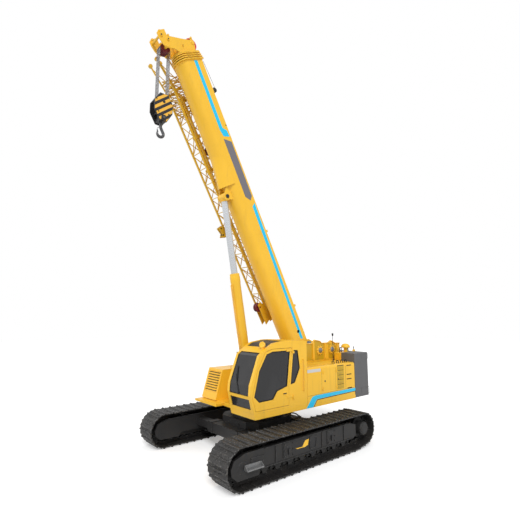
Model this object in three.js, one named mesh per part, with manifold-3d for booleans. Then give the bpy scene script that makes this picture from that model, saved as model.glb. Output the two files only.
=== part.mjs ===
// Crawler crane with a telescopic boom, a stowed lattice jib and a hook block.
// Millimetres; +X forward, +Y left (cab side), +Z up; origin on the ground under the slewing axis.
import * as THREE from "three";
import { mergeVertices } from "three/addons/utils/BufferGeometryUtils.js";
import Module from "manifold-3d";

const wasm = await Module();
wasm.setup();

// ---------- driving dimensions ----------
const seat = 0.3; // gap between faces that rest on each other
const running = 8; // gap between pieces that pass each other
const pinPlay = 0.9; // radial play of a pin in its bore
const weldSize = 0.01; // vertices closer than this are one

const track = {
  gauge: 3760, length: 5500, width: 760, height: 1000, shoes: 48,
  grouser: 34, grouserHalf: 20, plate: 24, chain: 110, linkNear: 45, linkFar: 105,
  sprocketOuter: 460, liftX: -1850, liftRadius: 280,
};
const wheelSides = 24;
const frame = { half: 300, skin: 40, low: 360, deck: 660, top: 800, front: 1800, rear: -1780 };
const roller = { radius: 90, count: 9, first: -1650, last: 1730, barNear: 130, barFar: 165, barLow: 225 };
const carrier = { radius: 70, half: 70, xs: [1450, -1150] };
const finalDrive = { radius: 150, half: 290 };
const beam = { x: 1050, half: 130, low: 500, high: 700, inner: 620, wall: 42 };
const carbody = {
  length: 890, half: 820, corner: 260, tubeReach: 850, low: 470, high: 920, padRadius: 760, top: 1050,
};
const ring = { outer: 680, inner: 520 };
const step = { x: 1960, half: 240, z: 440, depth: 130, thick: 30, back: 110 };

const deck = { bottom: 1220, top: 1320, rear: -2910, front: 1000, half: 1490 };
const platform = { top: 1370, near: 480 };
const walkway = { front: 1300, low: 1240, high: 1300, inner: -330 };
const cheek = { inner: 500, thick: 40, top: 2950 };
const cheekRear = [
  [-1900, 2950], [-2040, 3065], [-2290, 3020], [-2380, 2950], [-2730, 2945], [-2880, 3015],
  [-3090, 2925], [-3367, 2915], [-3350, 2450], [-3070, 2380],
];
const boomPivot = { x: -1760, z: 2600, pin: 90, lug: 185 };
const winch = { xs: [-2230, -2850], z: 2680, shaft: 50, drum: 180, flange: 262, half: 485, flangeThick: 20 };
const footPin = {
  x: 280, z: 1600, radius: 60, lug: 130, half: 120, earGap: 40, earThick: 40, earFoot: 220, earTop: 110,
};

const cab = { right: 490, left: 1490, wall: 50, glass: 12, glassDepth: 18, pillar: 90 };
const cabProfile = [
  [-630, 1370], [1360, 1370], [1480, 1830], [1460, 2070], [1180, 2800],
  [920, 2985], [680, 3105], [300, 3155], [-50, 3160], [-630, 3120],
];
const doorWindow = [
  [170, 1930], [540, 1840], [690, 1640], [1180, 1630], [1350, 1780],
  [1180, 2420], [920, 2830], [710, 2890], [50, 2890],
];
const doorOutline = [
  [115, 1425], [1290, 1425], [1400, 1790], [1235, 2430],
  [960, 2885], [730, 2950], [-15, 2950], [115, 1940],
];
const sideWindow = [[-340, 2380], [-130, 1990], [40, 1960], [-80, 2890], [-260, 2880]];
const doorGap = 10; // round the door, wide enough for its leading edge to swing out
const hingeZs = [1560, 2800];
const knuckle = { radius: 17, height: 60, x: -50, stand: 3, leaf: 60, doorLeaf: [130, 190] };
const windshieldZ = [1800, 2870];
const lowerWindowZ = [1460, 1720];
const roofWindowX = [150, 880];
const rearWindowZ = [2000, 2950];
const rightWindow = [[60, 1850], [1280, 1800], [1130, 2420], [880, 2830], [60, 2890]];

const cover = { front: -640, inner: 620, top: 2350, wall: 25, round: 70 };
const engine = { x: [-2500, -1250], y: [760, 1340], top: 2050 };
const hood = { inner: -720, top: 2200, frontLow: 1055, frontHigh: 800, wall: 25 };
const weight = {
  front: -2910, side: -3640, rearLow: -3800, rearHigh: -3730, low: 1230, seam: 1900, top: 2620, chamfer: 180,
};
const winchNotch = { rear: -3420, low: 2290, half: 960 };

const boom = {
  angle: 62.5, width: 620, depth: 760, wall: 15, step: 60, innerWall: 12, length: 9800, tubeStart: 350,
};
const sections = 5;
const collar = { length: 30, pitch: 62, lip: 45, spread: 20 };
const innerTubes = { start: 870, stagger: 120 }; // where the first starts; each next one starts further in
const eye = { x: 5730, z: -515, pin: 60, radius: 125, half: 130, plateGap: 8, plateThick: 40 };
const eyeBracket = { rear: -150, front: 420, cheek: 105 };
const cylinderUnit = {
  barrel: 146, bore: 130, boreStart: 400, barrelEnd: 3580, gland: 80, rod: 100, rodLength: 3290,
};

const head = { base: 9994, flange: 30, plate: 30, inner: 220, web: 60 };
const headOutline = [
  [9994, 280], [9994, -246], [10120, -413], [10160, -650], [10212, -715], [10303, -766], [10442, -802],
  [10571, -809], [10640, -720], [10663, -529], [10484, -514], [10404, -99], [10335, 345], [10215, 345],
];
const headTubes = [[10500, -740, 34], [10140, -170, 40]]; // X, Z and radius
const headSheave = { x: 10211, z: -618, radius: 141, half: 120, grooves: 4 };
const topSheave = { x: 10275, z: 296, radius: 190, near: 40, far: 160, grooves: 2 };
const headPin = 40;
const sheaveGap = 6; // between a sheave's rim and the edge of its share of the pack
const rope = { radius: 11, ys: [-90, 90] };
const block = { half: 270, top: 9940, low: 9130, plate: 25, inner: 130, sheaveZ: 9700, pin: 45 };
const crosshead = { half: 100, low: 20, high: 190, nutHalf: 80, nutFloor: 120 };
const hook = { shank: 40, half: 42, bowl: 8820, outer: 130, inner: 52, nut: 65 };

const jib = {
  inner: -470, outer: -900, bar: 50, lace: 16, tipX: 1350, baseX: 9300, lowTip: -190, slope: -0.03,
  heightTip: 400, heightBase: 430, bays: 16, endInset: 25,
};
const jibLugs = [[10193, -620], [10262, -240]]; // X and Z of its fork ends
const jibArms = { xs: [2350, 8650], half: 45, below: 100, above: 60 };

// ---------- finishes ----------
function finish(colour, roughness, metalness) {
  return new THREE.MeshStandardMaterial({ color: colour, roughness, metalness });
}
const yellow = finish(0xf6bd3c, 0.42, 0);
const charcoal = finish(0x2b2a2a, 0.6, 0.1);
const trackSteel = finish(0x3a3734, 0.55, 0.6);
const grey = finish(0x666668, 0.6, 0);
const stepGrey = finish(0x77797c, 0.55, 0.3);
const glass = finish(0x434346, 0.1, 0);
const chrome = finish(0xb9bfcc, 0.15, 0.9);
const red = finish(0x7d1c26, 0.5, 0);
const ropeSteel = finish(0x4c4a49, 0.5, 0.7);
const blockBlack = finish(0x262629, 0.5, 0.1);
const forged = finish(0x55575b, 0.45, 0.5);
const vinyl = finish(0x202124, 0.8, 0);
const castIron = finish(0x50524f, 0.7, 0.3);

// ---------- solids ----------
function solid(geometry) {
  const loose = geometry.index ? geometry.toNonIndexed() : geometry.clone();
  loose.deleteAttribute("normal");
  loose.deleteAttribute("uv");
  const merged = mergeVertices(loose, weldSize);
  return new wasm.Manifold(new wasm.Mesh({
    numProp: 3,
    vertProperties: merged.attributes.position.array,
    triVerts: new Uint32Array(merged.index.array),
  }));
}

function geometryOf(shape) {
  const mesh = shape.getMesh();
  const geometry = new THREE.BufferGeometry();
  geometry.setAttribute("position", new THREE.BufferAttribute(Float32Array.from(mesh.vertProperties), 3));
  geometry.setIndex(new THREE.BufferAttribute(Uint32Array.from(mesh.triVerts), 1));
  geometry.computeVertexNormals();
  return geometry;
}

const join = (...shapes) => shapes.flat().reduce((sum, shape) => sum.add(shape));
const cut = (base, ...tools) => tools.flat().reduce((rest, tool) => rest.subtract(tool), base);

function box(x0, x1, y0, y1, z0, z1) {
  const geometry = new THREE.BoxGeometry(Math.abs(x1 - x0), Math.abs(y1 - y0), Math.abs(z1 - z0));
  geometry.translate((x0 + x1) / 2, (y0 + y1) / 2, (z0 + z1) / 2);
  return solid(geometry);
}

// For each prism axis: where the outline's two directions and the extrusion point.
const prismBases = {
  x: [new THREE.Vector3(0, 1, 0), new THREE.Vector3(0, 0, 1), new THREE.Vector3(1, 0, 0)],
  y: [new THREE.Vector3(1, 0, 0), new THREE.Vector3(0, 0, 1), new THREE.Vector3(0, -1, 0)],
  z: [new THREE.Vector3(1, 0, 0), new THREE.Vector3(0, 1, 0), new THREE.Vector3(0, 0, 1)],
};

function prism(axis, outline, from, to, holes = []) {
  const shape = new THREE.Shape(outline.map(([a, b]) => new THREE.Vector2(a, b)));
  shape.holes = holes.map((hole) => new THREE.Path(hole.map(([a, b]) => new THREE.Vector2(a, b))));
  const geometry = new THREE.ExtrudeGeometry(shape, { depth: Math.abs(to - from), bevelEnabled: false });
  geometry.applyMatrix4(new THREE.Matrix4().makeBasis(...prismBases[axis]));
  const start = axis === "y" ? Math.max(from, to) : Math.min(from, to);
  geometry.translate(axis === "x" ? start : 0, axis === "y" ? start : 0, axis === "z" ? start : 0);
  return solid(geometry);
}

// A round bar along one axis; centre gives the other two coordinates in x, y, z order.
function cylinder(axis, centre, radius, from, to, sides = 24) {
  const geometry = new THREE.CylinderGeometry(radius, radius, Math.abs(to - from), sides);
  const middle = (from + to) / 2;
  if (axis === "x") geometry.rotateZ(-Math.PI / 2).translate(middle, centre[0], centre[1]);
  if (axis === "y") geometry.translate(centre[0], middle, centre[1]);
  if (axis === "z") geometry.rotateX(Math.PI / 2).translate(centre[0], centre[1], middle);
  return solid(geometry);
}

function bar(start, end, radius, sides = 4) {
  const a = new THREE.Vector3(...start);
  const b = new THREE.Vector3(...end);
  const geometry = new THREE.CylinderGeometry(radius, radius, a.distanceTo(b), sides);
  geometry.rotateY(Math.PI / sides);
  const turn = new THREE.Quaternion().setFromUnitVectors(
    new THREE.Vector3(0, 1, 0), b.clone().sub(a).normalize());
  geometry.applyQuaternion(turn);
  geometry.translate(...a.add(b).multiplyScalar(0.5).toArray());
  return solid(geometry);
}

// Moves every edge of an anticlockwise outline inward by a distance (outward if negative).
function inset(outline, distance) {
  const count = outline.length;
  return outline.map((point, i) => {
    const before = outline[(i + count - 1) % count];
    const after = outline[(i + 1) % count];
    const inA = new THREE.Vector2(before[1] - point[1], point[0] - before[0]).normalize();
    const inB = new THREE.Vector2(point[1] - after[1], after[0] - point[0]).normalize();
    const corner = inA.clone().add(inB).normalize();
    const reach = distance / corner.dot(inA);
    return [point[0] + corner.x * reach, point[1] + corner.y * reach];
  });
}

function arc(cx, cz, radius, startDegrees, endDegrees, steps) {
  return Array.from({ length: steps + 1 }, (_, i) => {
    const angle = THREE.MathUtils.degToRad(startDegrees + (endDegrees - startDegrees) * i / steps);
    return [cx + radius * Math.cos(angle), cz + radius * Math.sin(angle)];
  });
}

const crane = new THREE.Group();

function place(name, shape, material, parent = crane) {
  const mesh = new THREE.Mesh(geometryOf(shape), material);
  mesh.name = name;
  parent.add(mesh);
}

// ---------- crawler tracks ----------
const idlerWheel = { x: track.length / 2 - track.height / 2, z: track.height / 2, r: track.height / 2 };
const sprocketWheel = {
  x: -track.length / 2 + track.sprocketOuter, z: track.height - track.sprocketOuter, r: track.sprocketOuter,
};
const liftWheel = { x: track.liftX, z: track.liftRadius, r: track.liftRadius };

// Closed belt round circles met anticlockwise: gives the point and outward direction at a length along it.
function belt(circles) {
  const count = circles.length;
  const leaving = circles.map((a, i) => {
    const b = circles[(i + 1) % count];
    const heading = Math.atan2(b.z - a.z, b.x - a.x);
    return heading - Math.acos((a.r - b.r) / Math.hypot(b.x - a.x, b.z - a.z));
  });
  const rim = (circle, angle) => [
    circle.x + circle.r * Math.cos(angle), circle.z + circle.r * Math.sin(angle)];
  const spans = [];
  circles.forEach((circle, i) => {
    const start = leaving[(i + count - 1) % count];
    const turn = (leaving[i] - start + 4 * Math.PI) % (2 * Math.PI);
    spans.push({ circle, start, turn, length: turn * circle.r });
    const from = rim(circle, leaving[i]);
    const to = rim(circles[(i + 1) % count], leaving[i]);
    spans.push({ from, to, start: leaving[i], length: Math.hypot(to[0] - from[0], to[1] - from[1]) });
  });
  const length = spans.reduce((sum, span) => sum + span.length, 0);
  return { length, at(distance) {
    let left = (distance + length) % length;
    const span = spans.find((s) => (left < s.length ? true : ((left -= s.length), false))) ?? spans[0];
    const share = left / span.length;
    const angle = span.start + (span.circle ? span.turn * share : 0);
    const point = span.circle ? rim(span.circle, angle)
      : span.from.map((value, k) => value + (span.to[k] - value) * share);
    return { point, out: [Math.cos(angle), Math.sin(angle)] };
  } };
}

const trackBelt = belt([liftWheel, idlerWheel, sprocketWheel]);
const shoePitch = trackBelt.length / track.shoes;
const plateDepth = track.grouser + track.plate;
const chainDepth = plateDepth + track.chain;

function beltPoint(distance, depth) {
  const { point, out } = trackBelt.at(distance);
  return [point[0] - out[0] * depth, point[1] - out[1] * depth];
}

function beltRing(depth) {
  return Array.from({ length: track.shoes }, (_, k) => beltPoint(k * shoePitch, depth));
}

function trackLoop(y) {
  const shoes = [];
  for (let k = 0; k < track.shoes; k++) {
    shoes.push(beltPoint(k * shoePitch - track.grouserHalf, track.grouser));
    shoes.push(beltPoint(k * shoePitch, 0));
    shoes.push(beltPoint(k * shoePitch + track.grouserHalf, track.grouser));
  }
  const half = track.width / 2;
  const plates = prism("y", shoes, y - half, y + half, [beltRing(plateDepth)]);
  const links = [-1, 1].map((side) => prism("y", beltRing(track.grouser + track.plate / 2),
    y + side * track.linkNear, y + side * track.linkFar, [beltRing(chainDepth)]));
  return join(plates, links);
}

// Largest round wheel that fits inside the chain where it wraps a circle of the belt.
function wheelRadius(wheel) {
  return (wheel.r - chainDepth) * Math.cos(shoePitch / wheel.r / 2) - seat;
}

function idler(y) {
  const tread = cylinder("y", [idlerWheel.x, idlerWheel.z], wheelRadius(idlerWheel),
    y - track.linkFar, y + track.linkFar, wheelSides);
  const guide = cylinder("y", [idlerWheel.x, idlerWheel.z], wheelRadius(idlerWheel) + track.chain / 2,
    y - track.linkNear + running, y + track.linkNear - running, wheelSides);
  const axleEnd = frame.half - frame.skin * 2 - seat;
  const axle = cylinder("y", [idlerWheel.x, idlerWheel.z], 70, y - axleEnd, y + axleEnd);
  return join(tread, guide, axle);
}

function sprocket(y, side) {
  const centre = [sprocketWheel.x, sprocketWheel.z];
  const drum = cylinder("y", centre, wheelRadius(sprocketWheel),
    y - track.linkFar, y + track.linkFar, wheelSides);
  const tooth = wheelRadius(sprocketWheel) + track.chain / 2;
  const teeth = Array.from({ length: 12 }, (_, k) => {
    const angle = k * Math.PI / 6;
    const at = (reach, turn) => [
      centre[0] + reach * Math.cos(angle + turn), centre[1] + reach * Math.sin(angle + turn)];
    return prism("y", [at(tooth - 90, -0.1), at(tooth, -0.05), at(tooth, 0.05), at(tooth - 90, 0.1)],
      y - track.linkNear + running, y + track.linkNear - running);
  });
  const drive = cylinder("y", centre, finalDrive.radius,
    y - side * (frame.half - frame.skin - seat), y + side * finalDrive.half);
  return join(drum, teeth, drive);
}

function rollerRow(y) {
  const pitch = (roller.last - roller.first) / (roller.count - 1);
  const z = chainDepth + seat + roller.radius;
  const rollers = Array.from({ length: roller.count }, (_, k) => {
    const centre = [roller.first + k * pitch, z];
    return [
      cylinder("y", centre, roller.radius, y - track.linkFar, y + track.linkFar, 10),
      cylinder("y", centre, 28, y - roller.barFar + 5, y + roller.barFar - 5, 6),
    ];
  });
  const ends = [roller.first - 60, roller.last + 60];
  const bars = [-1, 1].map((side) => box(...ends, y + side * roller.barNear, y + side * roller.barFar,
    roller.barLow, frame.low - seat));
  return join(rollers.flat(), bars);
}

function carrierRoller(y, x) {
  const z = track.height - chainDepth - seat - carrier.radius;
  return join(
    cylinder("y", [x, z], carrier.radius, y - carrier.half, y + carrier.half, 16),
    box(x - 45, x + 45, y - 30, y + 30, frame.deck + seat, z),
  );
}

// Side plate outline: a long box whose nose follows the idler and whose tail follows the sprocket.
function sideOutline(tail) {
  return [
    [tail, 420], [frame.rear, frame.low], [roller.last, frame.low], [roller.last + 30, 250],
    [idlerWheel.x + 130, 250], [idlerWheel.x + 290, 380], [idlerWheel.x + 310, 520],
    [idlerWheel.x + 230, 690], [idlerWheel.x - 60, frame.top - 10], [frame.front - 200, frame.top],
    [carrier.xs[1] - 400, frame.top], [tail, 720],
  ];
}

function trackFrame(y, side) {
  const far = y + side * frame.half;
  const near = y - side * frame.half;
  const core = box(frame.rear, frame.front, near, far, frame.low, frame.deck);
  const outerSkin = prism("y", sideOutline(frame.rear - 130), far, far - side * frame.skin * 2);
  const driveEnd = sprocketWheel.x - finalDrive.radius;
  const innerSkin = prism("y", sideOutline(driveEnd), near, near + side * frame.skin);
  const noseSkin = prism("y", sideOutline(frame.rear - 130), near, near + side * frame.skin * 2);
  const beams = [-1, 1].map((end) => box(end * beam.x - beam.half, end * beam.x + beam.half,
    near, side * beam.inner, beam.low, beam.high));
  const nose = noseSkin.intersect(box(0, track.length, near, far, 0, track.height));
  return join(core, outerSkin, innerSkin, nose, beams);
}

function footStep(y, side) {
  const face = y + side * (frame.half + seat);
  const edge = face + side * (step.depth - seat);
  return join(
    box(step.x - step.half, step.x + step.half, face, edge, step.z, step.z + step.thick),
    box(step.x - step.half, step.x + step.half, face, face + side * step.thick, step.z, step.z + step.back),
  );
}

for (const [label, side] of [["left", 1], ["right", -1]]) {
  const y = side * track.gauge / 2;
  place(`track_frame_${label}`, trackFrame(y, side), charcoal);
  place(`track_${label}`, trackLoop(y), trackSteel);
  place(`idler_${label}`, idler(y), charcoal);
  place(`sprocket_${label}`, sprocket(y, side), charcoal);
  place(`roller_row_${label}`, rollerRow(y), charcoal);
  carrier.xs.forEach((x, i) => {
    place(`carrier_roller_${i ? "rear" : "front"}_${label}`, carrierRoller(y, x), charcoal);
  });
  place(`step_${label}`, footStep(y, side), stepGrey);
}

// ---------- carbody and slewing ring ----------
function carbodyFrame() {
  const { length: l, half: h, corner } = carbody;
  const plan = [
    [-l, -h + corner], [-l + corner, -h], [l - corner, -h], [l, -h + corner],
    [l, h - corner], [l - corner, h], [-l + corner, h], [-l, h - corner],
  ];
  const core = prism("z", plan, carbody.low, carbody.high);
  const pad = cylinder("z", [0, 0], carbody.padRadius, carbody.high - 10, carbody.top, 32);
  const outer = beam.half + running + beam.wall;
  const tubes = [-1, 1].map((end) => box(end * beam.x - outer, end * beam.x + outer,
    -carbody.tubeReach, carbody.tubeReach, beam.low - beam.wall, beam.high + beam.wall));
  const slack = beam.half + running;
  const bores = [-1, 1].map((end) => box(end * beam.x - slack, end * beam.x + slack,
    -track.gauge / 2, track.gauge / 2, beam.low - seat, beam.high + seat));
  return cut(join(core, pad, tubes), bores);
}
place("carbody", carbodyFrame(), charcoal);
place("slewing_ring", cut(
  cylinder("z", [0, 0], ring.outer, carbody.top + seat, deck.bottom - seat, 28),
  cylinder("z", [0, 0], ring.inner, carbody.top, deck.bottom, 28),
), charcoal);

// ---------- superstructure ----------
function cheekPlate(side) {
  const rear = weight.front + seat;
  const outline = [
    [rear, deck.top - 10], [-800, deck.top - 10], [-1360, cheek.top], ...cheekRear,
    [rear, winchNotch.low + 40],
  ];
  const plate = prism("y", outline, side * cheek.inner, side * (cheek.inner + cheek.thick));
  const bores = winch.xs.map((x) => cylinder("y", [x, winch.z], winch.shaft + pinPlay,
    side * (cheek.inner - 50), side * (cheek.inner + cheek.thick + 50)));
  return cut(plate, bores);
}

function deckFrame() {
  const rear = deck.rear + seat;
  const wide = box(rear, cover.front, -deck.half, deck.half, deck.bottom, deck.top);
  const narrow = box(cover.front - 10, deck.front, -deck.half, platform.near, deck.bottom, deck.top);
  const sloped = (z) => cabProfile[1][0] - (cabProfile[1][1] - z) * 0.26;
  const cabBase = prism("y", [
    [cabProfile[0][0], deck.bottom], [sloped(deck.bottom), deck.bottom],
    [sloped(platform.top - seat), platform.top - seat], [cabProfile[0][0], platform.top - seat],
  ], platform.near - 10, deck.half);
  const ledge = box(deck.front - 10, walkway.front, -deck.half, walkway.inner, walkway.low, walkway.high);
  const bulkhead = box(-900, -860, -cheek.inner - 5, cheek.inner + 5, deck.top - 10, 1850);
  const winchFloor = box(winch.xs[1] - 50, winch.xs[0] + 280, -cheek.inner - 5, cheek.inner + 5, 2300, 2340);
  const pin = cylinder("y", [boomPivot.x, boomPivot.z], boomPivot.pin,
    -cheek.inner - 10, cheek.inner + 10, 32);
  const earNear = footPin.half + footPin.earGap;
  const ears = [-1, 1].map((side) => prism("y", [
    [footPin.x - footPin.earFoot, deck.top - 10], [footPin.x + footPin.earFoot, deck.top - 10],
    [footPin.x + footPin.earTop, footPin.z + 90], [footPin.x, footPin.z + 130],
    [footPin.x - footPin.earTop, footPin.z + 90],
  ], side * earNear, side * (earNear + footPin.earThick)));
  return join(wide, narrow, cabBase, ledge, bulkhead, winchFloor, pin, ears, cheekPlate(1), cheekPlate(-1));
}
place("deck_frame", deckFrame(), yellow);

winch.xs.forEach((x, i) => {
  const drum = join(
    cylinder("y", [x, winch.z], winch.drum, -winch.half, winch.half, 20),
    [-1, 1].map((side) => cylinder("y", [x, winch.z], winch.flange,
      side * winch.half, side * (winch.half - winch.flangeThick), 24)),
    cylinder("y", [x, winch.z], winch.shaft, -cheek.inner - cheek.thick, cheek.inner + cheek.thick, 24),
  );
  place(i ? "aux_winch_drum" : "main_winch_drum", drum, charcoal);
});

// ---------- cab ----------
const cabOutline = cabProfile.map(([x, z], i) => [x, i < 2 ? z + seat : z]);
const glassY = [cab.right + cab.pillar, cab.left - cab.pillar];
const hingeLine = [knuckle.x, cab.left + knuckle.radius + knuckle.stand];

function frontBand() {
  return cut(prism("y", inset(cabOutline, cab.glassDepth), glassY[0] + seat, glassY[1] - seat),
    prism("y", inset(cabOutline, cab.glassDepth + cab.glass), glassY[0], glassY[1]));
}

function cabShell() {
  const shell = cut(prism("y", cabOutline, cab.right, cab.left),
    prism("y", inset(cabOutline, cab.wall), cab.right + cab.wall, cab.left - cab.wall));
  const knuckles = hingeZs.map((z) => join(
    cylinder("z", hingeLine, knuckle.radius, z, z + knuckle.height, 16),
    box(knuckle.x - knuckle.leaf, knuckle.x, cab.left - 5, cab.left + knuckle.radius,
      z, z + knuckle.height)));
  return cut(join(shell, knuckles),
    prism("y", inset(doorOutline, -doorGap), cab.left - cab.wall - 5, cab.left + 40)
      .subtract(box(-200, -15 - doorGap, cab.left - 100, cab.left + 60, 0, 4000)),
    prism("y", sideWindow, cab.left - cab.wall - 5, cab.left + 5),
    prism("y", rightWindow, cab.right - 5, cab.right + cab.wall + 5),
    box(1000, 1600, ...glassY, ...windshieldZ),
    box(1200, 1600, ...glassY, ...lowerWindowZ),
    box(...roofWindowX, ...glassY, 2900, 3300),
    box(-700, -540, cab.right + 110, cab.left - 110, ...rearWindowZ));
}

place("cab_shell", cabShell(), yellow);
place("windshield", frontBand().intersect(
  box(1000, 1600, ...glassY, windshieldZ[0] + seat, windshieldZ[1] - seat)), glass);
place("lower_front_window", frontBand().intersect(
  box(1200, 1600, ...glassY, lowerWindowZ[0] + seat, lowerWindowZ[1] - seat)), glass);
place("roof_window", frontBand().intersect(
  box(roofWindowX[0] + seat, roofWindowX[1] - seat, ...glassY, 2900, 3300)), glass);

function sidePane(outline, face, side) {
  const near = face - side * cab.glassDepth;
  return prism("y", inset(outline, seat), near, near - side * cab.glass);
}
place("side_window", sidePane(sideWindow, cab.left, 1), glass);
place("right_window", sidePane(rightWindow, cab.right, -1), glass);
place("rear_window", box(
  cabProfile[0][0] + cab.glassDepth, cabProfile[0][0] + cab.glassDepth + cab.glass,
  cab.right + 110 + seat, cab.left - 110 - seat, rearWindowZ[0] + seat, rearWindowZ[1] - seat), glass);

function doorPanel() {
  const [leafStart, leafEnd] = knuckle.doorLeaf;
  const panel = prism("y", doorOutline, cab.left - cab.wall, cab.left, [doorWindow]);
  const knuckles = hingeZs.map((z) => {
    const low = z + knuckle.height + seat;
    return join(
      cylinder("z", hingeLine, knuckle.radius, low, low + knuckle.height, 16),
      box(knuckle.x, leafEnd, cab.left + 6, cab.left + knuckle.radius, low, low + knuckle.height),
      box(leafStart, leafEnd, cab.left - 5, cab.left + knuckle.radius, low, low + knuckle.height));
  });
  return join(panel, knuckles);
}
place("cab_door", doorPanel(), yellow);
place("door_window", sidePane(doorWindow, cab.left, 1), glass);

const cabMiddle = (cab.right + cab.left) / 2;
const cabFloor = platform.top + cab.wall + seat;
const backrest = [
  [-170, cabFloor + 400], [-20, cabFloor + 400], [-110, cabFloor + 1050], [-220, cabFloor + 1050],
];
place("operator_seat", join(
  box(-50, 250, cabMiddle - 120, cabMiddle + 120, cabFloor + seat, cabFloor + 330),
  box(-150, 380, cabMiddle - 250, cabMiddle + 250, cabFloor + 320, cabFloor + 470),
  prism("y", backrest, cabMiddle - 240, cabMiddle + 240)), vinyl);
place("control_console", join(
  box(980, 1100, cabMiddle - 60, cabMiddle + 60, cabFloor + seat, cabFloor + 620),
  box(880, 1180, cabMiddle - 260, cabMiddle + 260, cabFloor + 600, cabFloor + 680)), vinyl);

// ---------- covers, engine and counterweight ----------
// A cover has no floor: the points of its hollow nearest the deck drop below it.
function openBelow(outline, wall) {
  return outline.map(([across, z]) => [across, z < deck.top + wall * 2 ? z - wall * 2 : z]);
}

function engineCover() {
  const floor = deck.top + seat;
  const outline = [
    [cover.inner, floor], [deck.half, floor],
    ...arc(deck.half - cover.round, cover.top - cover.round, cover.round, 0, 90, 4), [cover.inner, cover.top],
  ];
  const hollow = openBelow(inset(outline, cover.wall), cover.wall);
  return cut(prism("x", outline, deck.rear + 20, cover.front),
    prism("x", hollow, deck.rear + 20 + cover.wall, cover.front - cover.wall));
}
place("engine_cover", engineCover(), yellow);
place("engine_block", box(...engine.x, ...engine.y, deck.top + seat, engine.top), castIron);

function rightHood() {
  const floor = deck.top + seat;
  const outline = [
    [deck.rear + 20, floor], [hood.frontLow, floor], [hood.frontHigh, hood.top], [deck.rear + 20, hood.top],
  ];
  const hollow = openBelow(inset(outline, hood.wall), hood.wall);
  return cut(prism("y", outline, -deck.half, hood.inner),
    prism("y", hollow, -deck.half + hood.wall, hood.inner - hood.wall));
}
place("right_hood", rightHood(), yellow);

function weightSlab(low, high) {
  const lean = (weight.rearHigh - weight.rearLow) / (weight.top - weight.low);
  const rearAt = (z) => weight.rearLow + lean * (z - weight.low);
  const front = weight.front - seat;
  const side = prism("y", [[front, low], [front, high], [rearAt(high), high], [rearAt(low), low]],
    -deck.half, deck.half);
  const plan = prism("z", [
    [weight.front, -deck.half - 1], [weight.front, deck.half + 1], [weight.side, deck.half + 1],
    [weight.rearLow - 1, deck.half - weight.chamfer], [weight.rearLow - 1, -deck.half + weight.chamfer],
    [weight.side, -deck.half - 1],
  ], low - 1, high + 1);
  const notch = box(winchNotch.rear, weight.front + 1, -winchNotch.half, winchNotch.half,
    winchNotch.low, weight.top + 1);
  return side.intersect(plan).subtract(notch);
}
place("counterweight_lower", weightSlab(weight.low, weight.seam), grey);
place("counterweight_upper", weightSlab(weight.seam + seat, weight.top), grey);

// ---------- telescopic boom, drawn level: X along it, Z to its back ----------
const boomGroup = new THREE.Group();
boomGroup.position.set(boomPivot.x, 0, boomPivot.z);
boomGroup.rotation.y = -THREE.MathUtils.degToRad(boom.angle);
crane.add(boomGroup);

// U-shaped section: flat back with small bevels, half-ellipse belly; grown outward by a lip.
function boomOutline(width, depth, grow = 0) {
  const half = width / 2 + grow;
  const back = depth / 2 + grow;
  const bevel = 25;
  const belly = Array.from({ length: 11 }, (_, i) => {
    const angle = Math.PI + Math.PI * i / 10;
    return [half * Math.cos(angle), -back + half * 0.75 + half * 0.75 * Math.sin(angle)];
  });
  return [...belly, [half, back - bevel], [half - bevel, back], [bevel - half, back], [-half, back - bevel]];
}

function sectionSize(k) {
  return [boom.width - boom.step * k, boom.depth - boom.step * k];
}

function boomTube(k, start, end, wall) {
  const [width, depth] = sectionSize(k);
  return prism("x", boomOutline(width, depth), start, end, [boomOutline(width - 2 * wall, depth - 2 * wall)]);
}

// Collar at a section's mouth: it guides the next section on a close sliding fit.
function boomCollar(k) {
  const start = boom.length - collar.length + collar.pitch * k;
  const [width, depth] = sectionSize(k);
  const [nextWidth, nextDepth] = sectionSize(k + 1);
  return prism("x", boomOutline(width, depth, collar.lip + collar.spread * k), start, start + collar.length,
    [boomOutline(nextWidth, nextDepth, seat)]);
}

function jibHeight(x) {
  return jib.heightTip + (jib.heightBase - jib.heightTip) * (x - jib.tipX) / (jib.baseX - jib.tipX);
}
const jibLow = (x) => jib.lowTip + jib.slope * (x - jib.tipX);
const jibHigh = (x) => jibLow(x) + jibHeight(x);

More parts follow.
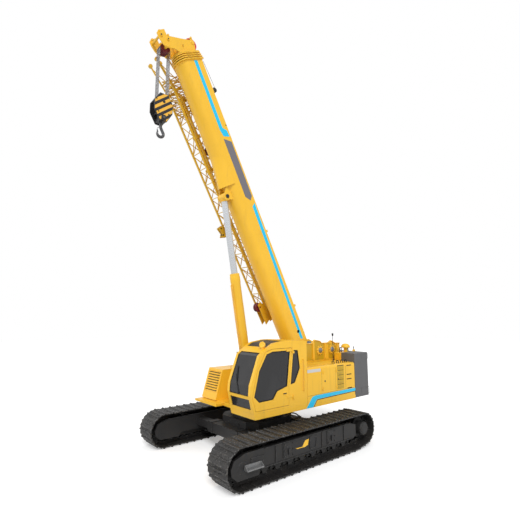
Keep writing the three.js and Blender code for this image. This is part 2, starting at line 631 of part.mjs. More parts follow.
function outerBoom() {
  const rimStart = boom.length - collar.length;
  const tube = prism("x", boomOutline(boom.width, boom.depth), boom.tubeStart, rimStart + 5);
  const rim = prism("x", boomOutline(boom.width, boom.depth, collar.lip), rimStart, boom.length);
  const half = boom.width / 2;
  const back = boom.depth / 2;
  const lugOutline = [
    ...arc(0, 0, boomPivot.lug, 120, 250, 8), [boom.tubeStart + 500, -back + 170],
    [boom.tubeStart + 500, back - 30], [boom.tubeStart - 30, back - 30],
  ];
  const lugs = [-1, 1].map((side) => join(
    prism("y", lugOutline, side * (half - 60), side * half),
    cylinder("y", [0, 0], boomPivot.lug - 20, side * (half - 60), side * (cheek.inner - 5), 32)));
  const bore = cylinder("y", [0, 0], boomPivot.pin + pinPlay, -cheek.inner, cheek.inner, 32);
  const bracketNear = eye.half + eye.plateGap;
  const bracket = [-1, 1].map((side) => prism("y", [
    [eye.x + eyeBracket.rear, -back + 60], [eye.x - eyeBracket.cheek, eye.z - 40],
    ...arc(eye.x, eye.z, eye.radius, 215, 325, 4),
    [eye.x + eyeBracket.cheek, eye.z - 40], [eye.x + eyeBracket.front, -back + 60],
  ], side * bracketNear, side * (bracketNear + eye.plateThick)));
  const eyePin = cylinder("y", [eye.x, eye.z], eye.pin, -bracketNear - 5, bracketNear + 5, 32);
  const arms = jibArms.xs.map((x) => box(x - jibArms.half, x + jibArms.half,
    -half + 10, jib.inner + jib.bar / 2 + seat, jibHigh(x) - jibArms.below, jibHigh(x) + jibArms.above));
  const inside = prism("x", boomOutline(boom.width - 2 * boom.wall, boom.depth - 2 * boom.wall),
    boom.tubeStart - 1, rimStart + 2);
  const mouth = prism("x", boomOutline(...sectionSize(1), seat), rimStart - 1, boom.length + 1);
  return join(cut(join(tube, rim, lugs, bracket, arms), bore, inside, mouth), eyePin);
}
place("boom_outer", outerBoom(), yellow, boomGroup);

for (let k = 1; k < sections; k++) {
  const start = innerTubes.start + innerTubes.stagger * (k - 1);
  const last = k === sections - 1;
  const mouth = boom.length - collar.length + collar.pitch * k;
  const tube = boomTube(k, start, last ? head.base - seat : mouth + 5, boom.innerWall);
  place(`boom_section_${k + 1}`, last ? tube : join(tube, boomCollar(k)), yellow, boomGroup);
}

// Boom head: two cheek plates joined by the flange on the innermost section and by cross tubes.
function boomHead() {
  const [width, depth] = sectionSize(sections - 1);
  const plates = [-1, 1].map((side) => prism("y", headOutline,
    side * head.inner, side * (head.inner + head.plate)));
  const grow = collar.lip + collar.spread * (sections - 1);
  const flange = prism("x", boomOutline(width, depth, grow), head.base, head.base + head.flange);
  const across = head.inner + 5;
  const web = box(head.base, head.base + head.web, -across, across, -200, 190);
  const bars = [...headTubes, [headSheave.x, headSheave.z, headPin], [topSheave.x, topSheave.z, headPin]];
  return join(plates, flange, web, bars.map(([x, z, r]) => cylinder("y", [x, z], r, -across, across, 16)));
}
place("boom_head", boomHead(), yellow, boomGroup);

// Grooved sheaves side by side on one hub, bored for their pin.
function sheavePack(x, z, radius, from, to, count, bore) {
  const width = (to - from) / count;
  const discs = Array.from({ length: count }, (_, k) => cylinder("y", [x, z], radius,
    from + k * width + sheaveGap, from + (k + 1) * width - sheaveGap, 20));
  const hub = cylinder("y", [x, z], radius * 0.6, from, to, 12);
  return cut(join(discs, hub), cylinder("y", [x, z], bore + pinPlay, from - 5, to + 5, 24));
}
place("head_sheaves", sheavePack(headSheave.x, headSheave.z, headSheave.radius,
  -headSheave.half, headSheave.half, headSheave.grooves, headPin), red, boomGroup);
place("top_sheave", sheavePack(topSheave.x, topSheave.z, topSheave.radius,
  topSheave.near, topSheave.far, topSheave.grooves, headPin), red, boomGroup);

// ---------- lattice jib stowed along the boom's right side ----------
function latticeJib() {
  const half = jib.bar / 2;
  const chord = (y, level) => prism("y", [
    [jib.tipX, level(jib.tipX) - half], [jib.baseX, level(jib.baseX) - half],
    [jib.baseX, level(jib.baseX) + half], [jib.tipX, level(jib.tipX) + half],
  ], y - half, y + half);
  const chords = [jib.inner, jib.outer].flatMap((y) => [chord(y, jibLow), chord(y, jibHigh)]);
  const run = jib.baseX - jib.tipX - 2 * jib.endInset;
  const station = (k) => jib.tipX + jib.endInset + run * k / jib.bays;
  const lacing = [];
  for (let k = 0; k <= jib.bays; k++) {
    const x = station(k);
    lacing.push(bar([x, jib.inner, jibLow(x)], [x, jib.outer, jibLow(x)], jib.lace));
    lacing.push(bar([x, jib.inner, jibHigh(x)], [x, jib.outer, jibHigh(x)], jib.lace));
    if (k === jib.bays) continue;
    const next = station(k + 1);
    const [from, to] = k % 2 ? [jibHigh, jibLow] : [jibLow, jibHigh];
    lacing.push(bar([x, jib.inner, from(x)], [next, jib.inner, to(next)], jib.lace));
    lacing.push(bar([x, jib.outer, from(x)], [next, jib.outer, to(next)], jib.lace));
  }
  const forks = [jib.inner, jib.outer].flatMap((y) => [
    bar([jib.baseX - 30, y, jibLow(jib.baseX)], [jibLugs[0][0], y, jibLugs[0][1]], half, 6),
    bar([jib.baseX - 30, y, jibHigh(jib.baseX)], [jibLugs[1][0], y, jibLugs[1][1]], half, 6),
    bar([jib.baseX - 30, y, jibHigh(jib.baseX)], [jibLugs[0][0] - 60, y, jibLugs[0][1]], jib.lace),
  ]);
  return join(chords, lacing, forks);
}
place("jib", latticeJib(), yellow, boomGroup);

// ---------- luffing cylinder, drawn level: X from its foot pin to its eye ----------
const slope = THREE.MathUtils.degToRad(boom.angle);
function boomToWorld(x, z) {
  return [
    boomPivot.x + x * Math.cos(slope) - z * Math.sin(slope),
    boomPivot.z + x * Math.sin(slope) + z * Math.cos(slope),
  ];
}
const [eyeX, eyeZ] = boomToWorld(eye.x, eye.z);
const pinDistance = Math.hypot(eyeX - footPin.x, eyeZ - footPin.z);
const cylinderGroup = new THREE.Group();
cylinderGroup.position.set(footPin.x, 0, footPin.z);
cylinderGroup.rotation.y = -Math.atan2(eyeZ - footPin.z, eyeX - footPin.x);
crane.add(cylinderGroup);

place("luff_barrel", cut(
  join(
    cylinder("x", [0, 0], cylinderUnit.barrel, footPin.lug * 0.6, cylinderUnit.barrelEnd, 20),
    cylinder("y", [0, 0], footPin.lug, -footPin.half, footPin.half, 20),
  ),
  cylinder("x", [0, 0], cylinderUnit.bore,
    cylinderUnit.boreStart, cylinderUnit.barrelEnd - cylinderUnit.gland, 20),
  cylinder("x", [0, 0], cylinderUnit.rod + pinPlay,
    cylinderUnit.boreStart + 10, cylinderUnit.barrelEnd + 5, 20),
), yellow, cylinderGroup);
place("luff_rod", cut(
  join(
    cylinder("x", [0, 0], cylinderUnit.rod,
      pinDistance - cylinderUnit.rodLength, pinDistance - eye.radius * 0.5, 20),
    cylinder("y", [pinDistance, 0], eye.radius, -eye.half, eye.half, 20),
  ),
  cylinder("y", [pinDistance, 0], eye.pin + pinPlay, -eye.half - 5, eye.half + 5, 32),
), chrome, cylinderGroup);

// ---------- rope falls, hook block and hook, hanging plumb from the head sheaves ----------
const [plumbX, sheaveTop] = boomToWorld(headSheave.x, headSheave.z);
const pull = headSheave.radius + rope.radius + seat;
for (const [label, shift] of [["front", pull], ["rear", -pull]]) {
  rope.ys.forEach((y, i) => {
    place(`rope_fall_${label}_${i ? "left" : "right"}`,
      cylinder("z", [plumbX + shift, y], rope.radius, block.sheaveZ, sheaveTop, 8), ropeSteel);
  });
}

function blockFrame() {
  const [x, w, top, low] = [plumbX, block.half, block.top, block.low];
  const outline = [
    [x - 100, low], [x + 100, low], [x + w, low + 290], [x + w, top - 250],
    [x + 120, top], [x - 120, top], [x - w, top - 250], [x - w, low + 290],
  ];
  const plates = [-1, 1].map((side) => prism("y", outline,
    side * block.inner, side * (block.inner + block.plate)));
  const across = block.inner + 5;
  const pin = cylinder("y", [x, block.sheaveZ], block.pin, -across, across);
  const beamAcross = box(x - crosshead.half, x + crosshead.half, -across, across,
    low + crosshead.low, low + crosshead.high);
  const bore = cylinder("z", [x, 0], hook.shank + pinPlay, low - 10, low + crosshead.high + 10);
  const nutRoom = box(x - crosshead.nutHalf, x + crosshead.nutHalf, -crosshead.nutHalf, crosshead.nutHalf,
    low + crosshead.nutFloor, low + crosshead.high + 10);
  return cut(join(plates, pin, beamAcross), bore, nutRoom);
}
place("hook_block", blockFrame(), blockBlack);
place("block_sheaves", sheavePack(plumbX, block.sheaveZ, headSheave.radius,
  -headSheave.half, headSheave.half, headSheave.grooves, block.pin), red);

// Forged hook: a thick bowl open to the front, its shank turned and nutted above the crosshead.
function hookBody() {
  const x = plumbX;
  const { bowl, outer, inner, shank } = hook;
  const neck = block.low - 40;
  const outline = [
    ...arc(x, bowl, outer, 150, 375, 16), [x + outer - 22, bowl + 92], ...arc(x, bowl, inner, 375, 120, 12),
    [x + shank - 4, neck - 70], [x + shank - 4, neck], [x - shank + 4, neck], [x - shank - 24, neck - 90],
  ];
  const nutSeat = block.low + crosshead.nutFloor;
  const stem = cylinder("z", [x, 0], shank, neck - 20, nutSeat + 1, 24);
  const nut = cylinder("z", [x, 0], hook.nut, nutSeat + seat, nutSeat + 60, 6);
  return join(prism("y", outline, -hook.half, hook.half), stem, nut);
}
place("hook", hookBody(), forged);

export default crane;
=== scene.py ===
import bmesh
import bpy
import numpy as np
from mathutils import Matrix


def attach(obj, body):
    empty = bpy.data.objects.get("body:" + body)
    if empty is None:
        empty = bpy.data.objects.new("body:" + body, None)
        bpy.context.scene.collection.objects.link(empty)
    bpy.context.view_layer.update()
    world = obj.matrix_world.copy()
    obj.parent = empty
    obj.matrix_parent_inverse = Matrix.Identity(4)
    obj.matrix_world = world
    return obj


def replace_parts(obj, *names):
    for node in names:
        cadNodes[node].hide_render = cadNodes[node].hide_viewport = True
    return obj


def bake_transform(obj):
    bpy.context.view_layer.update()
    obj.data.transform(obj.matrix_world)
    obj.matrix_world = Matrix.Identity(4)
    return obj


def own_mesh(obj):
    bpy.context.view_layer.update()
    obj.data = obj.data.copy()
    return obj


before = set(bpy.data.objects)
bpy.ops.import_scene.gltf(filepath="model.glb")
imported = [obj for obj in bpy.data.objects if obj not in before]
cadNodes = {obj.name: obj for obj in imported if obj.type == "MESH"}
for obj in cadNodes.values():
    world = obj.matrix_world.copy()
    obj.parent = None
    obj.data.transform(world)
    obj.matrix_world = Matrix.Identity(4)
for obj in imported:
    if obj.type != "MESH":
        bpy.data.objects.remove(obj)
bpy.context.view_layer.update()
print("frame loaded:", len(cadNodes), "nodes")

# camera, floor and lamps; angles in degrees, distances in metres
studio = {
    "cameraPlace": (7.756, 9.311, 3.819),
    "cameraYaw": 229.836,
    "cameraPitch": 8.52,
    "lens": 26.295,
    "floorHalf": 60.0,
    "floorColour": (0.93, 0.93, 0.93, 1),
    "floorLift": 0.3,
    "worldLight": 0.56,
    "keyStrength": 1.75,
    "keyFrom": (0.42, 0.62, 0.66),
    "fillStrength": 0.45,
    "fillFrom": (0.75, -0.5, 0.35),
    "lampSoftness": 24.0,
}

# the boom's own frame: X runs along it from its pivot, Z towards its back
boomPivot = np.array([-1.76, 0.0, 2.60])
boomAngle = np.radians(62.5)
boomDirection = np.array([np.cos(boomAngle), 0, np.sin(boomAngle)])
boomBack = np.array([-np.sin(boomAngle), 0, np.cos(boomAngle)])
rodEye = boomPivot + 5.73 * boomDirection - 0.515 * boomBack
footPin = np.array([0.28, 0.0, 1.60])
headSheaveCentre = boomPivot + 10.211 * boomDirection - 0.618 * boomBack
topSheaveCentre = boomPivot + 10.275 * boomDirection + 0.296 * boomBack
blockSheaveCentre = np.array([headSheaveCentre[0], 0, 9.70])
leftSide = 1.49  # the upperworks' left face
frameFace = 2.18  # the left track frame's outer face
decalGap = 0.0005  # from a painted face to the back of a decal on it
latchProfile = [(0.001, 0.012), (0.02, 0.011), (0.027, 0.0)]  # radius and height of a turn latch


# ---- surfaces ----
def gridFaces(rows, columns, wrapRows=False, wrapColumns=True):
    # quads between neighbouring points of a rows x columns grid; a wrapped side joins its last line to its first
    r, c = np.meshgrid(np.arange(rows if wrapRows else rows - 1),
                       np.arange(columns if wrapColumns else columns - 1), indexing="ij")
    rNext, cNext = (r + 1) % rows, (c + 1) % columns
    quads = np.stack([r * columns + c, r * columns + cNext, rNext * columns + cNext, rNext * columns + c], -1)
    return quads.reshape(-1, 4).tolist()


def combine(*parts):
    # several surfaces as one: points stacked, faces renumbered by the points before them
    points, faces, start = [], [], 0
    for partPoints, partFaces in parts:
        points.append(partPoints)
        faces += [[i + start for i in face] for face in partFaces]
        start += len(partPoints)
    return np.concatenate(points), faces


def ringStack(rings, closed=False):
    # closed rings of equal count joined one to the next, the first and last filled unless the stack is a loop
    count, around = rings.shape[:2]
    faces = gridFaces(count, around, wrapRows=closed)
    if not closed:
        faces += [list(range(around))[::-1], list(range((count - 1) * around, count * around))]
    return rings.reshape(-1, 3), faces


def lift(flat, level, axis):
    # points of a plane outline set at a level along the axis the plane faces
    flat = np.asarray(flat, float)
    level = np.full(len(flat), level, float)
    order = {"x": (level, flat[:, 0], flat[:, 1]), "y": (flat[:, 0], level, flat[:, 1]),
             "z": (flat[:, 0], flat[:, 1], level)}
    return np.stack(order[axis], -1)


def insetOutline(outline, by):
    # each corner moves inwards along the mitre of its two edges
    outline = np.asarray(outline, float)
    after = np.roll(outline, -1, 0) - outline
    after /= np.linalg.norm(after, axis=1)[:, None]
    inward = np.stack([-after[:, 1], after[:, 0]], -1)
    area = np.sum(outline[:, 0] * np.roll(outline[:, 1], -1) - np.roll(outline[:, 0], -1) * outline[:, 1])
    inward *= np.sign(area)
    before = np.roll(inward, 1, 0)
    mitre = (inward + before) / (1 + np.sum(inward * before, 1))[:, None]
    return outline + by * mitre


def slab(outline, low, high, axis, bevel=0.004):
    # an outline raised along an axis, its two rims drawn in by the bevel
    inner = insetOutline(outline, bevel)
    step = bevel if high > low else -bevel
    levels = [(inner, low), (outline, low + step), (outline, high - step), (inner, high)]
    return ringStack(np.stack([lift(shape, level, axis) for shape, level in levels]))


def block(low, high, bevel=0.004):
    # a box with its edges bevelled along Z
    (x0, y0, z0), (x1, y1, z1) = low, high
    return slab([(x0, y0), (x1, y0), (x1, y1), (x0, y1)], z0, z1, "z", bevel)


def crossFrame(direction):
    # two unit vectors square to each direction and to each other
    direction = direction / np.linalg.norm(direction, axis=-1)[..., None]
    helper = np.where(np.abs(direction[..., 2:3]) > 0.9, [1.0, 0, 0], [0, 0, 1.0])
    side = np.cross(direction, helper)
    side /= np.linalg.norm(side, axis=-1)[..., None]
    return side, np.cross(direction, side)


def turned(profile, centre, axis, sides=32):
    # radius and distance along the axis, turned about it: centre + along*axis + radius*(cos*side + sin*up)
    profile = np.asarray(profile, float)
    axis = np.asarray(axis, float) / np.linalg.norm(axis)
    side, up = crossFrame(axis)
    turn = np.linspace(0, 2 * np.pi, sides, endpoint=False)
    circle = np.cos(turn)[:, None] * side + np.sin(turn)[:, None] * up
    rings = np.asarray(centre) + profile[:, 1, None, None] * axis + profile[:, 0, None, None] * circle
    return ringStack(rings)


def tube(path, radius, sides=10, closed=False):
    # a circle carried along a path on frames turned as little as possible: path + radius*(cos*side + sin*up)
    path = np.asarray(path, float)
    if closed:
        heading = np.roll(path, -1, 0) - np.roll(path, 1, 0)
    else:
        heading = np.gradient(path, axis=0)
    heading /= np.linalg.norm(heading, axis=1)[:, None]
    spread = path - path.mean(0)
    normal = np.linalg.svd(spread)[2][-1]  # the path's flattest direction keeps the frames from twisting
    side = normal - (heading @ normal)[:, None] * heading
    side /= np.linalg.norm(side, axis=1)[:, None]
    up = np.cross(heading, side)
    turn = np.linspace(0, 2 * np.pi, sides, endpoint=False)
    radius = np.broadcast_to(np.asarray(radius, float), len(path))[:, None, None]
    circle = np.cos(turn)[:, None] * side[:, None] + np.sin(turn)[:, None] * up[:, None]
    return ringStack(path[:, None] + radius * circle, closed)


def rounded(corners, radius, steps=5, closed=False):
    # a path through corners, each cut back by the radius and bridged by a quadratic curve
    corners = np.asarray(corners, float)
    before, after = np.roll(corners, 1, 0) - corners, np.roll(corners, -1, 0) - corners
    reach = [np.linalg.norm(v, axis=1)[:, None] for v in (before, after)]
    start = corners + before / reach[0] * np.minimum(radius, reach[0] * 0.45)
    end = corners + after / reach[1] * np.minimum(radius, reach[1] * 0.45)
    t = np.linspace(0, 1, steps)[None, :, None]
    curve = (1 - t) ** 2 * start[:, None] + 2 * t * (1 - t) * corners[:, None] + t**2 * end[:, None]
    if closed:
        return curve.reshape(-1, corners.shape[1])
    return np.concatenate([corners[:1], curve[1:-1].reshape(-1, corners.shape[1]), corners[-1:]])


def rods(starts, ends, radius, sides=8):
    # straight round bars between pairs of points, each two rings of sides points with filled ends
    starts, ends = np.atleast_2d(starts).astype(float), np.atleast_2d(ends).astype(float)
    side, up = crossFrame(ends - starts)
    turn = np.linspace(0, 2 * np.pi, sides, endpoint=False)
    circle = radius * (np.cos(turn)[None, :, None] * side[:, None] + np.sin(turn)[None, :, None] * up[:, None])
    return combine(*(ringStack(np.stack([a + c, b + c])) for a, b, c in zip(starts, ends, circle)))


def bolts(places, outward, radius=0.014, height=0.012):
    # hexagon heads standing on a face
    places = np.atleast_2d(places).astype(float)
    return rods(places, places + np.asarray(outward, float) * height, radius, 6)


def mirrored(part):
    # the same surface on the other side of the machine
    return part[0] * [1, -1, 1], [face[::-1] for face in part[1]]


def onBoom(part):
    # from the boom's own frame to the machine's: pivot + X*direction + Y*left + Z*back
    points = part[0]
    placed = boomPivot + points[:, :1] * boomDirection + points[:, 1:2] * [0, 1, 0] + points[:, 2:] * boomBack
    return placed, part[1]


def makePiece(name, body, material, slotName, *parts, sharp=35, uv=None):
    points, faces = combine(*parts)
    mesh = bpy.data.meshes.new(name)
    mesh.from_pydata(points.tolist(), [], faces)
    shape = bmesh.new()
    shape.from_mesh(mesh)
    bmesh.ops.recalc_face_normals(shape, faces=shape.faces)
    shape.to_mesh(mesh)
    shape.free()
    mesh.polygons.foreach_set("use_smooth", np.ones(len(mesh.polygons), bool))
    mesh.set_sharp_from_angle(angle=np.radians(sharp))
    if uv is not None:
        corners = np.zeros(len(mesh.loops), int)
        mesh.loops.foreach_get("vertex_index", corners)
        mesh.uv_layers.new(name="UVMap").data.foreach_set("uv", uv[corners].ravel())
    mesh.materials.append(material)
    piece = bpy.data.objects.new(name, mesh)
    bpy.context.scene.collection.objects.link(piece)
    if body:
        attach(piece, body)
    return piece


# ---- shader groups ----
def newGroup(name, inputs, outputs):
    tree = bpy.data.node_groups.new(name, "ShaderNodeTree")
    for label, kind, value in inputs:
        socket = tree.interface.new_socket(label, in_out="INPUT", socket_type="NodeSocket" + kind)
        socket.default_value = value
    for label, kind in outputs:
        tree.interface.new_socket(label, in_out="OUTPUT", socket_type="NodeSocket" + kind)
    return tree, tree.nodes.new("NodeGroupInput").outputs, tree.nodes.new("NodeGroupOutput").inputs


def feed(tree, socket, value):
    if isinstance(value, bpy.types.NodeSocket):
        tree.links.new(value, socket)
    else:
        socket.default_value = value


def maths(tree, kind, a, b=0.0, clamp=False):
    node = tree.nodes.new("ShaderNodeMath")
    node.operation, node.use_clamp = kind, clamp
    feed(tree, node.inputs[0], a)
    feed(tree, node.inputs[1], b)
    return node.outputs[0]


def objectPoint(tree, stretch=(1, 1, 1)):
    mapping = tree.nodes.new("ShaderNodeMapping")
    mapping.inputs["Scale"].default_value = stretch
    tree.links.new(tree.nodes.new("ShaderNodeTexCoord").outputs["Object"], mapping.inputs["Vector"])
    return mapping.outputs[0]


def noise(tree, scale, detail=3.0, stretch=(1, 1, 1), roughness=0.55):
    node = tree.nodes.new("ShaderNodeTexNoise")
    tree.links.new(objectPoint(tree, stretch), node.inputs["Vector"])
    feed(tree, node.inputs["Scale"], scale)
    node.inputs["Detail"].default_value = detail
    node.inputs["Roughness"].default_value = roughness
    return node.outputs["Fac"]


def ramp(tree, value, low, high, fromValue=0.0, toValue=1.0):
    node = tree.nodes.new("ShaderNodeMapRange")
    feed(tree, node.inputs[0], value)
    for index, number in enumerate((low, high, fromValue, toValue), 1):
        feed(tree, node.inputs[index], number)
    return node.outputs[0]


def blendColours(tree, amount, first, second):
    node = tree.nodes.new("ShaderNodeMix")
    node.data_type = "RGBA"
    feed(tree, node.inputs[0], amount)
    feed(tree, node.inputs[6], first)
    feed(tree, node.inputs[7], second)
    return node.outputs[2]


def buildPaintGroup():
    # two tones of paint in broad clouds, thin rain streaks of grime, an orange-peel height
    tree, given, made = newGroup("paintTone", [
        ("Paint", "Color", (0.5, 0.5, 0.5, 1)), ("Faded", "Color", (0.4, 0.4, 0.4, 1)),
        ("Grime", "Color", (0.1, 0.08, 0.05, 1)), ("Fade Amount", "Float", 0.5), ("Grime Amount", "Float", 0.2),
        ("Gloss", "Float", 0.4)], [("Color", "Color"), ("Roughness", "Float"), ("Height", "Float")])
    clouds = ramp(tree, noise(tree, 0.9, 4.0), 0.35, 0.7)
    toned = blendColours(tree, maths(tree, "MULTIPLY", clouds, given["Fade Amount"]), given["Paint"], given["Faded"])
    streaks = ramp(tree, noise(tree, 5.0, 4.0, (1, 1, 0.12)), 0.58, 0.8)
    specks = ramp(tree, noise(tree, 38.0, 2.0), 0.64, 0.74)
    dirt = maths(tree, "MULTIPLY", maths(tree, "MAXIMUM", streaks, specks), given["Grime Amount"])
    tree.links.new(blendColours(tree, dirt, toned, given["Grime"]), made["Color"])
    rough = maths(tree, "ADD", given["Gloss"], maths(tree, "MULTIPLY", noise(tree, 6.0), 0.12))
    tree.links.new(maths(tree, "ADD", rough, maths(tree, "MULTIPLY", dirt, 0.4), True), made["Roughness"])
    tree.links.new(noise(tree, 140.0, 2.0), made["Height"])
    return tree


def buildWearGroup():
    # bright on edges, where the rounded normal leaves the flat one, broken up by noise
    tree, given, made = newGroup("edgeWear", [("Reach", "Float", 0.01), ("Amount", "Float", 0.5)],
                                 [("Mask", "Float")])
    bevel = tree.nodes.new("ShaderNodeBevel")
    bevel.samples = 3
    tree.links.new(given["Reach"], bevel.inputs["Radius"])
    dot = tree.nodes.new("ShaderNodeVectorMath")
    dot.operation = "DOT_PRODUCT"
    tree.links.new(bevel.outputs[0], dot.inputs[0])
    tree.links.new(tree.nodes.new("ShaderNodeNewGeometry").outputs["Normal"], dot.inputs[1])
    edge = ramp(tree, dot.outputs["Value"], 0.99, 0.9)
    broken = ramp(tree, noise(tree, 16.0, 4.0), 0.45, 0.62)
    tree.links.new(maths(tree, "MULTIPLY", maths(tree, "MULTIPLY", edge, broken), given["Amount"]), made["Mask"])
    return tree


def buildDustGroup():
    # thickest at the ground, thinning with height, patchy
    tree, given, made = newGroup("groundDust", [("Top", "Float", 1.0), ("Amount", "Float", 0.5)], [("Mask", "Float")])
    axes = tree.nodes.new("ShaderNodeSeparateXYZ")
    tree.links.new(objectPoint(tree), axes.inputs[0])
    fall = ramp(tree, axes.outputs["Z"], given["Top"], 0.0)
    patch = ramp(tree, noise(tree, 3.5, 5.0), 0.35, 0.75, 0.25, 1.0)
    tree.links.new(maths(tree, "MULTIPLY", maths(tree, "MULTIPLY", fall, patch), given["Amount"], True), made["Mask"])
    return tree


def buildCastGroup():
    # rough cast or rolled steel: pitted height, mottled tone, rust in the hollows
    tree, given, made = newGroup("castGrain", [
        ("Steel", "Color", (0.1, 0.1, 0.1, 1)), ("Rust", "Color", (0.1, 0.05, 0.03, 1)),
        ("Rust Amount", "Float", 0.4),
        ("Fineness", "Float", 40.0)], [("Color", "Color"), ("Roughness", "Float"), ("Height", "Float")])
    grain = noise(tree, given["Fineness"], 5.0)
    mottle = ramp(tree, noise(tree, 4.0, 5.0), 0.42, 0.68)
    shade = blendColours(tree, ramp(tree, grain, 0.3, 0.7, 0.0, 0.45), given["Steel"], (0.0, 0.0, 0.0, 1))
    mask = maths(tree, "MULTIPLY", mottle, given["Rust Amount"])
    tree.links.new(blendColours(tree, mask, shade, given["Rust"]), made["Color"])
    tree.links.new(ramp(tree, grain, 0.3, 0.7, 0.38, 0.62), made["Roughness"])
    tree.links.new(grain, made["Height"])
    return tree


def buildLayGroup():
    # strands of a laid rope: stripes slanting across the piece's own UV map
    tree, given, made = newGroup("ropeLay", [("Strands", "Float", 6.0), ("Lay", "Float", 30.0)], [
        ("Height", "Float"), ("Mask", "Float")])
    axes = tree.nodes.new("ShaderNodeSeparateXYZ")
    tree.links.new(tree.nodes.new("ShaderNodeTexCoord").outputs["UV"], axes.inputs[0])
    around = maths(tree, "MULTIPLY", axes.outputs["X"], given["Strands"])
    along = maths(tree, "MULTIPLY", axes.outputs["Y"], given["Lay"])
    phase = maths(tree, "MULTIPLY", maths(tree, "ADD", around, along), 2 * np.pi)
    wave = ramp(tree, maths(tree, "SINE", phase), -1.0, 1.0)
    tree.links.new(wave, made["Height"])
    # the mask is high in the valleys between strands, where the rope material paints shade
    tree.links.new(ramp(tree, wave, 0.0, 0.45, 1.0, 0.0), made["Mask"])
    return tree


paintGroup, wearGroup, dustGroup = buildPaintGroup(), buildWearGroup(), buildDustGroup()
castGroup, layGroup = buildCastGroup(), buildLayGroup()


def useGroup(tree, group, **values):
    node = tree.nodes.new("ShaderNodeGroup")
    node.node_tree = group
    for label, value in values.items():
        feed(tree, node.inputs[label.replace("_", " ")], value)
    return node.outputs


def newMaterial(name, **constants):
    material = bpy.data.materials.new(name)
    material.use_nodes = True
    shader = material.node_tree.nodes["Principled BSDF"]
    for label, value in constants.items():
        shader.inputs[label.replace("_", " ")].default_value = value
    return material, material.node_tree, shader.inputs


def addBump(tree, sockets, height, strength, distance):
    bump = tree.nodes.new("ShaderNodeBump")
    bump.inputs["Strength"].default_value = strength
    bump.inputs["Distance"].default_value = distance
    tree.links.new(height, bump.inputs["Height"])
    tree.links.new(bump.outputs[0], sockets["Normal"])


def paintMaterial(name, paint, faded, gloss=0.36, grime=0.16, wear=0.5, bare=(0.25, 0.22, 0.18, 1), dustTop=0.0,
                  dust=0.0, coat=0.25, specular=0.35):
    material, tree, sockets = newMaterial(name, Coat_Weight=coat, Coat_Roughness=0.2, Specular_IOR_Level=specular)
    tone = useGroup(tree, paintGroup, Paint=paint, Faded=faded, Fade_Amount=0.6, Grime_Amount=grime, Gloss=gloss)
    worn = useGroup(tree, wearGroup, Reach=0.012, Amount=wear)
    colour = blendColours(tree, worn["Mask"], tone["Color"], bare)
    rough = tone["Roughness"]
    if dust:
        dusty = useGroup(tree, dustGroup, Top=dustTop, Amount=dust)
        colour = blendColours(tree, dusty["Mask"], colour, (0.19, 0.155, 0.115, 1))
        rough = maths(tree, "ADD", rough, maths(tree, "MULTIPLY", dusty["Mask"], 0.35), True)
    tree.links.new(colour, sockets["Base Color"])
    tree.links.new(rough, sockets["Roughness"])
    addBump(tree, sockets, tone["Height"], 0.08, 0.002)
    return material


def steelMaterial(name, steel, rust, rustAmount=0.4, fineness=40.0, metallic=0.4, bump=0.35, dustTop=0.0, dust=0.0,
                  polishAndHighlight=0.0):
    material, tree, sockets = newMaterial(name, Metallic=metallic)
    grain = useGroup(tree, castGroup, Steel=steel, Rust=rust, Rust_Amount=rustAmount, Fineness=fineness)
    # bright edges: polish from wear, and on the track shoes also painted highlight
    worn = useGroup(tree, wearGroup, Reach=0.01, Amount=polishAndHighlight)
    colour = blendColours(tree, worn["Mask"], grain["Color"], (0.32, 0.31, 0.3, 1))
    if dust:
        dusty = useGroup(tree, dustGroup, Top=dustTop, Amount=dust)
        colour = blendColours(tree, dusty["Mask"], colour, (0.17, 0.135, 0.095, 1))
    tree.links.new(colour, sockets["Base Color"])
    tree.links.new(grain["Roughness"], sockets["Roughness"])
    addBump(tree, sockets, grain["Height"], bump, 0.004)
    return material


# ---- finishes ----
yellow = paintMaterial("yellowPaint", (0.92, 0.53, 0.031, 1), (0.87, 0.485, 0.023, 1))
# the jib lattice's yellow: the yellow paint darkened as painted shade
shadedLatticeYellow = paintMaterial("latticeYellowInShade", (0.76, 0.46, 0.024, 1), (0.6, 0.36, 0.018, 1), grime=0.3)
# a darker copy of the yellow paint for faces in shade: painted shade
shadeYellow = paintMaterial("yellowInPaintedShade", (0.6, 0.37, 0.009, 1), (0.5, 0.31, 0.008, 1), grime=0.3)
charcoal = paintMaterial("charcoalPaint", (0.0145, 0.0145, 0.0152, 1), (0.021, 0.0205, 0.021, 1), gloss=0.4, wear=0.6,
                         bare=(0.15, 0.15, 0.148, 1), dustTop=1.3, dust=0.05, coat=0.0)
blackPaint = paintMaterial("blackPaint", (0.012, 0.012, 0.013, 1), (0.02, 0.02, 0.021, 1), wear=0.4, coat=0.1)
weightGrey = paintMaterial("weightGrey", (0.125, 0.125, 0.13, 1), (0.11, 0.11, 0.113, 1), gloss=0.55, wear=0.3,
                           coat=0.0,
                           bare=(0.25, 0.25, 0.25, 1))
redPaint = paintMaterial("sheaveRed", (0.17, 0.012, 0.022, 1), (0.1, 0.008, 0.015, 1), grime=0.3, wear=0.6)
brightRed = paintMaterial("topSheaveRed", (0.72, 0.035, 0.05, 1), (0.6, 0.03, 0.04, 1), grime=0.1)
cyanDecal = paintMaterial("cyanStripe", (0.009, 0.57, 0.89, 1), (0.01, 0.5, 0.82, 1), gloss=0.3, wear=0.0, grime=0.05)
paleDecal = paintMaterial("palePlate", (0.62, 0.62, 0.6, 1), (0.55, 0.55, 0.52, 1), gloss=0.3, wear=0.0, grime=0.1)
greyDecal = paintMaterial("greyBand", (0.17, 0.16, 0.18, 1), (0.15, 0.145, 0.16, 1), gloss=0.3, wear=0.0, grime=0.05)
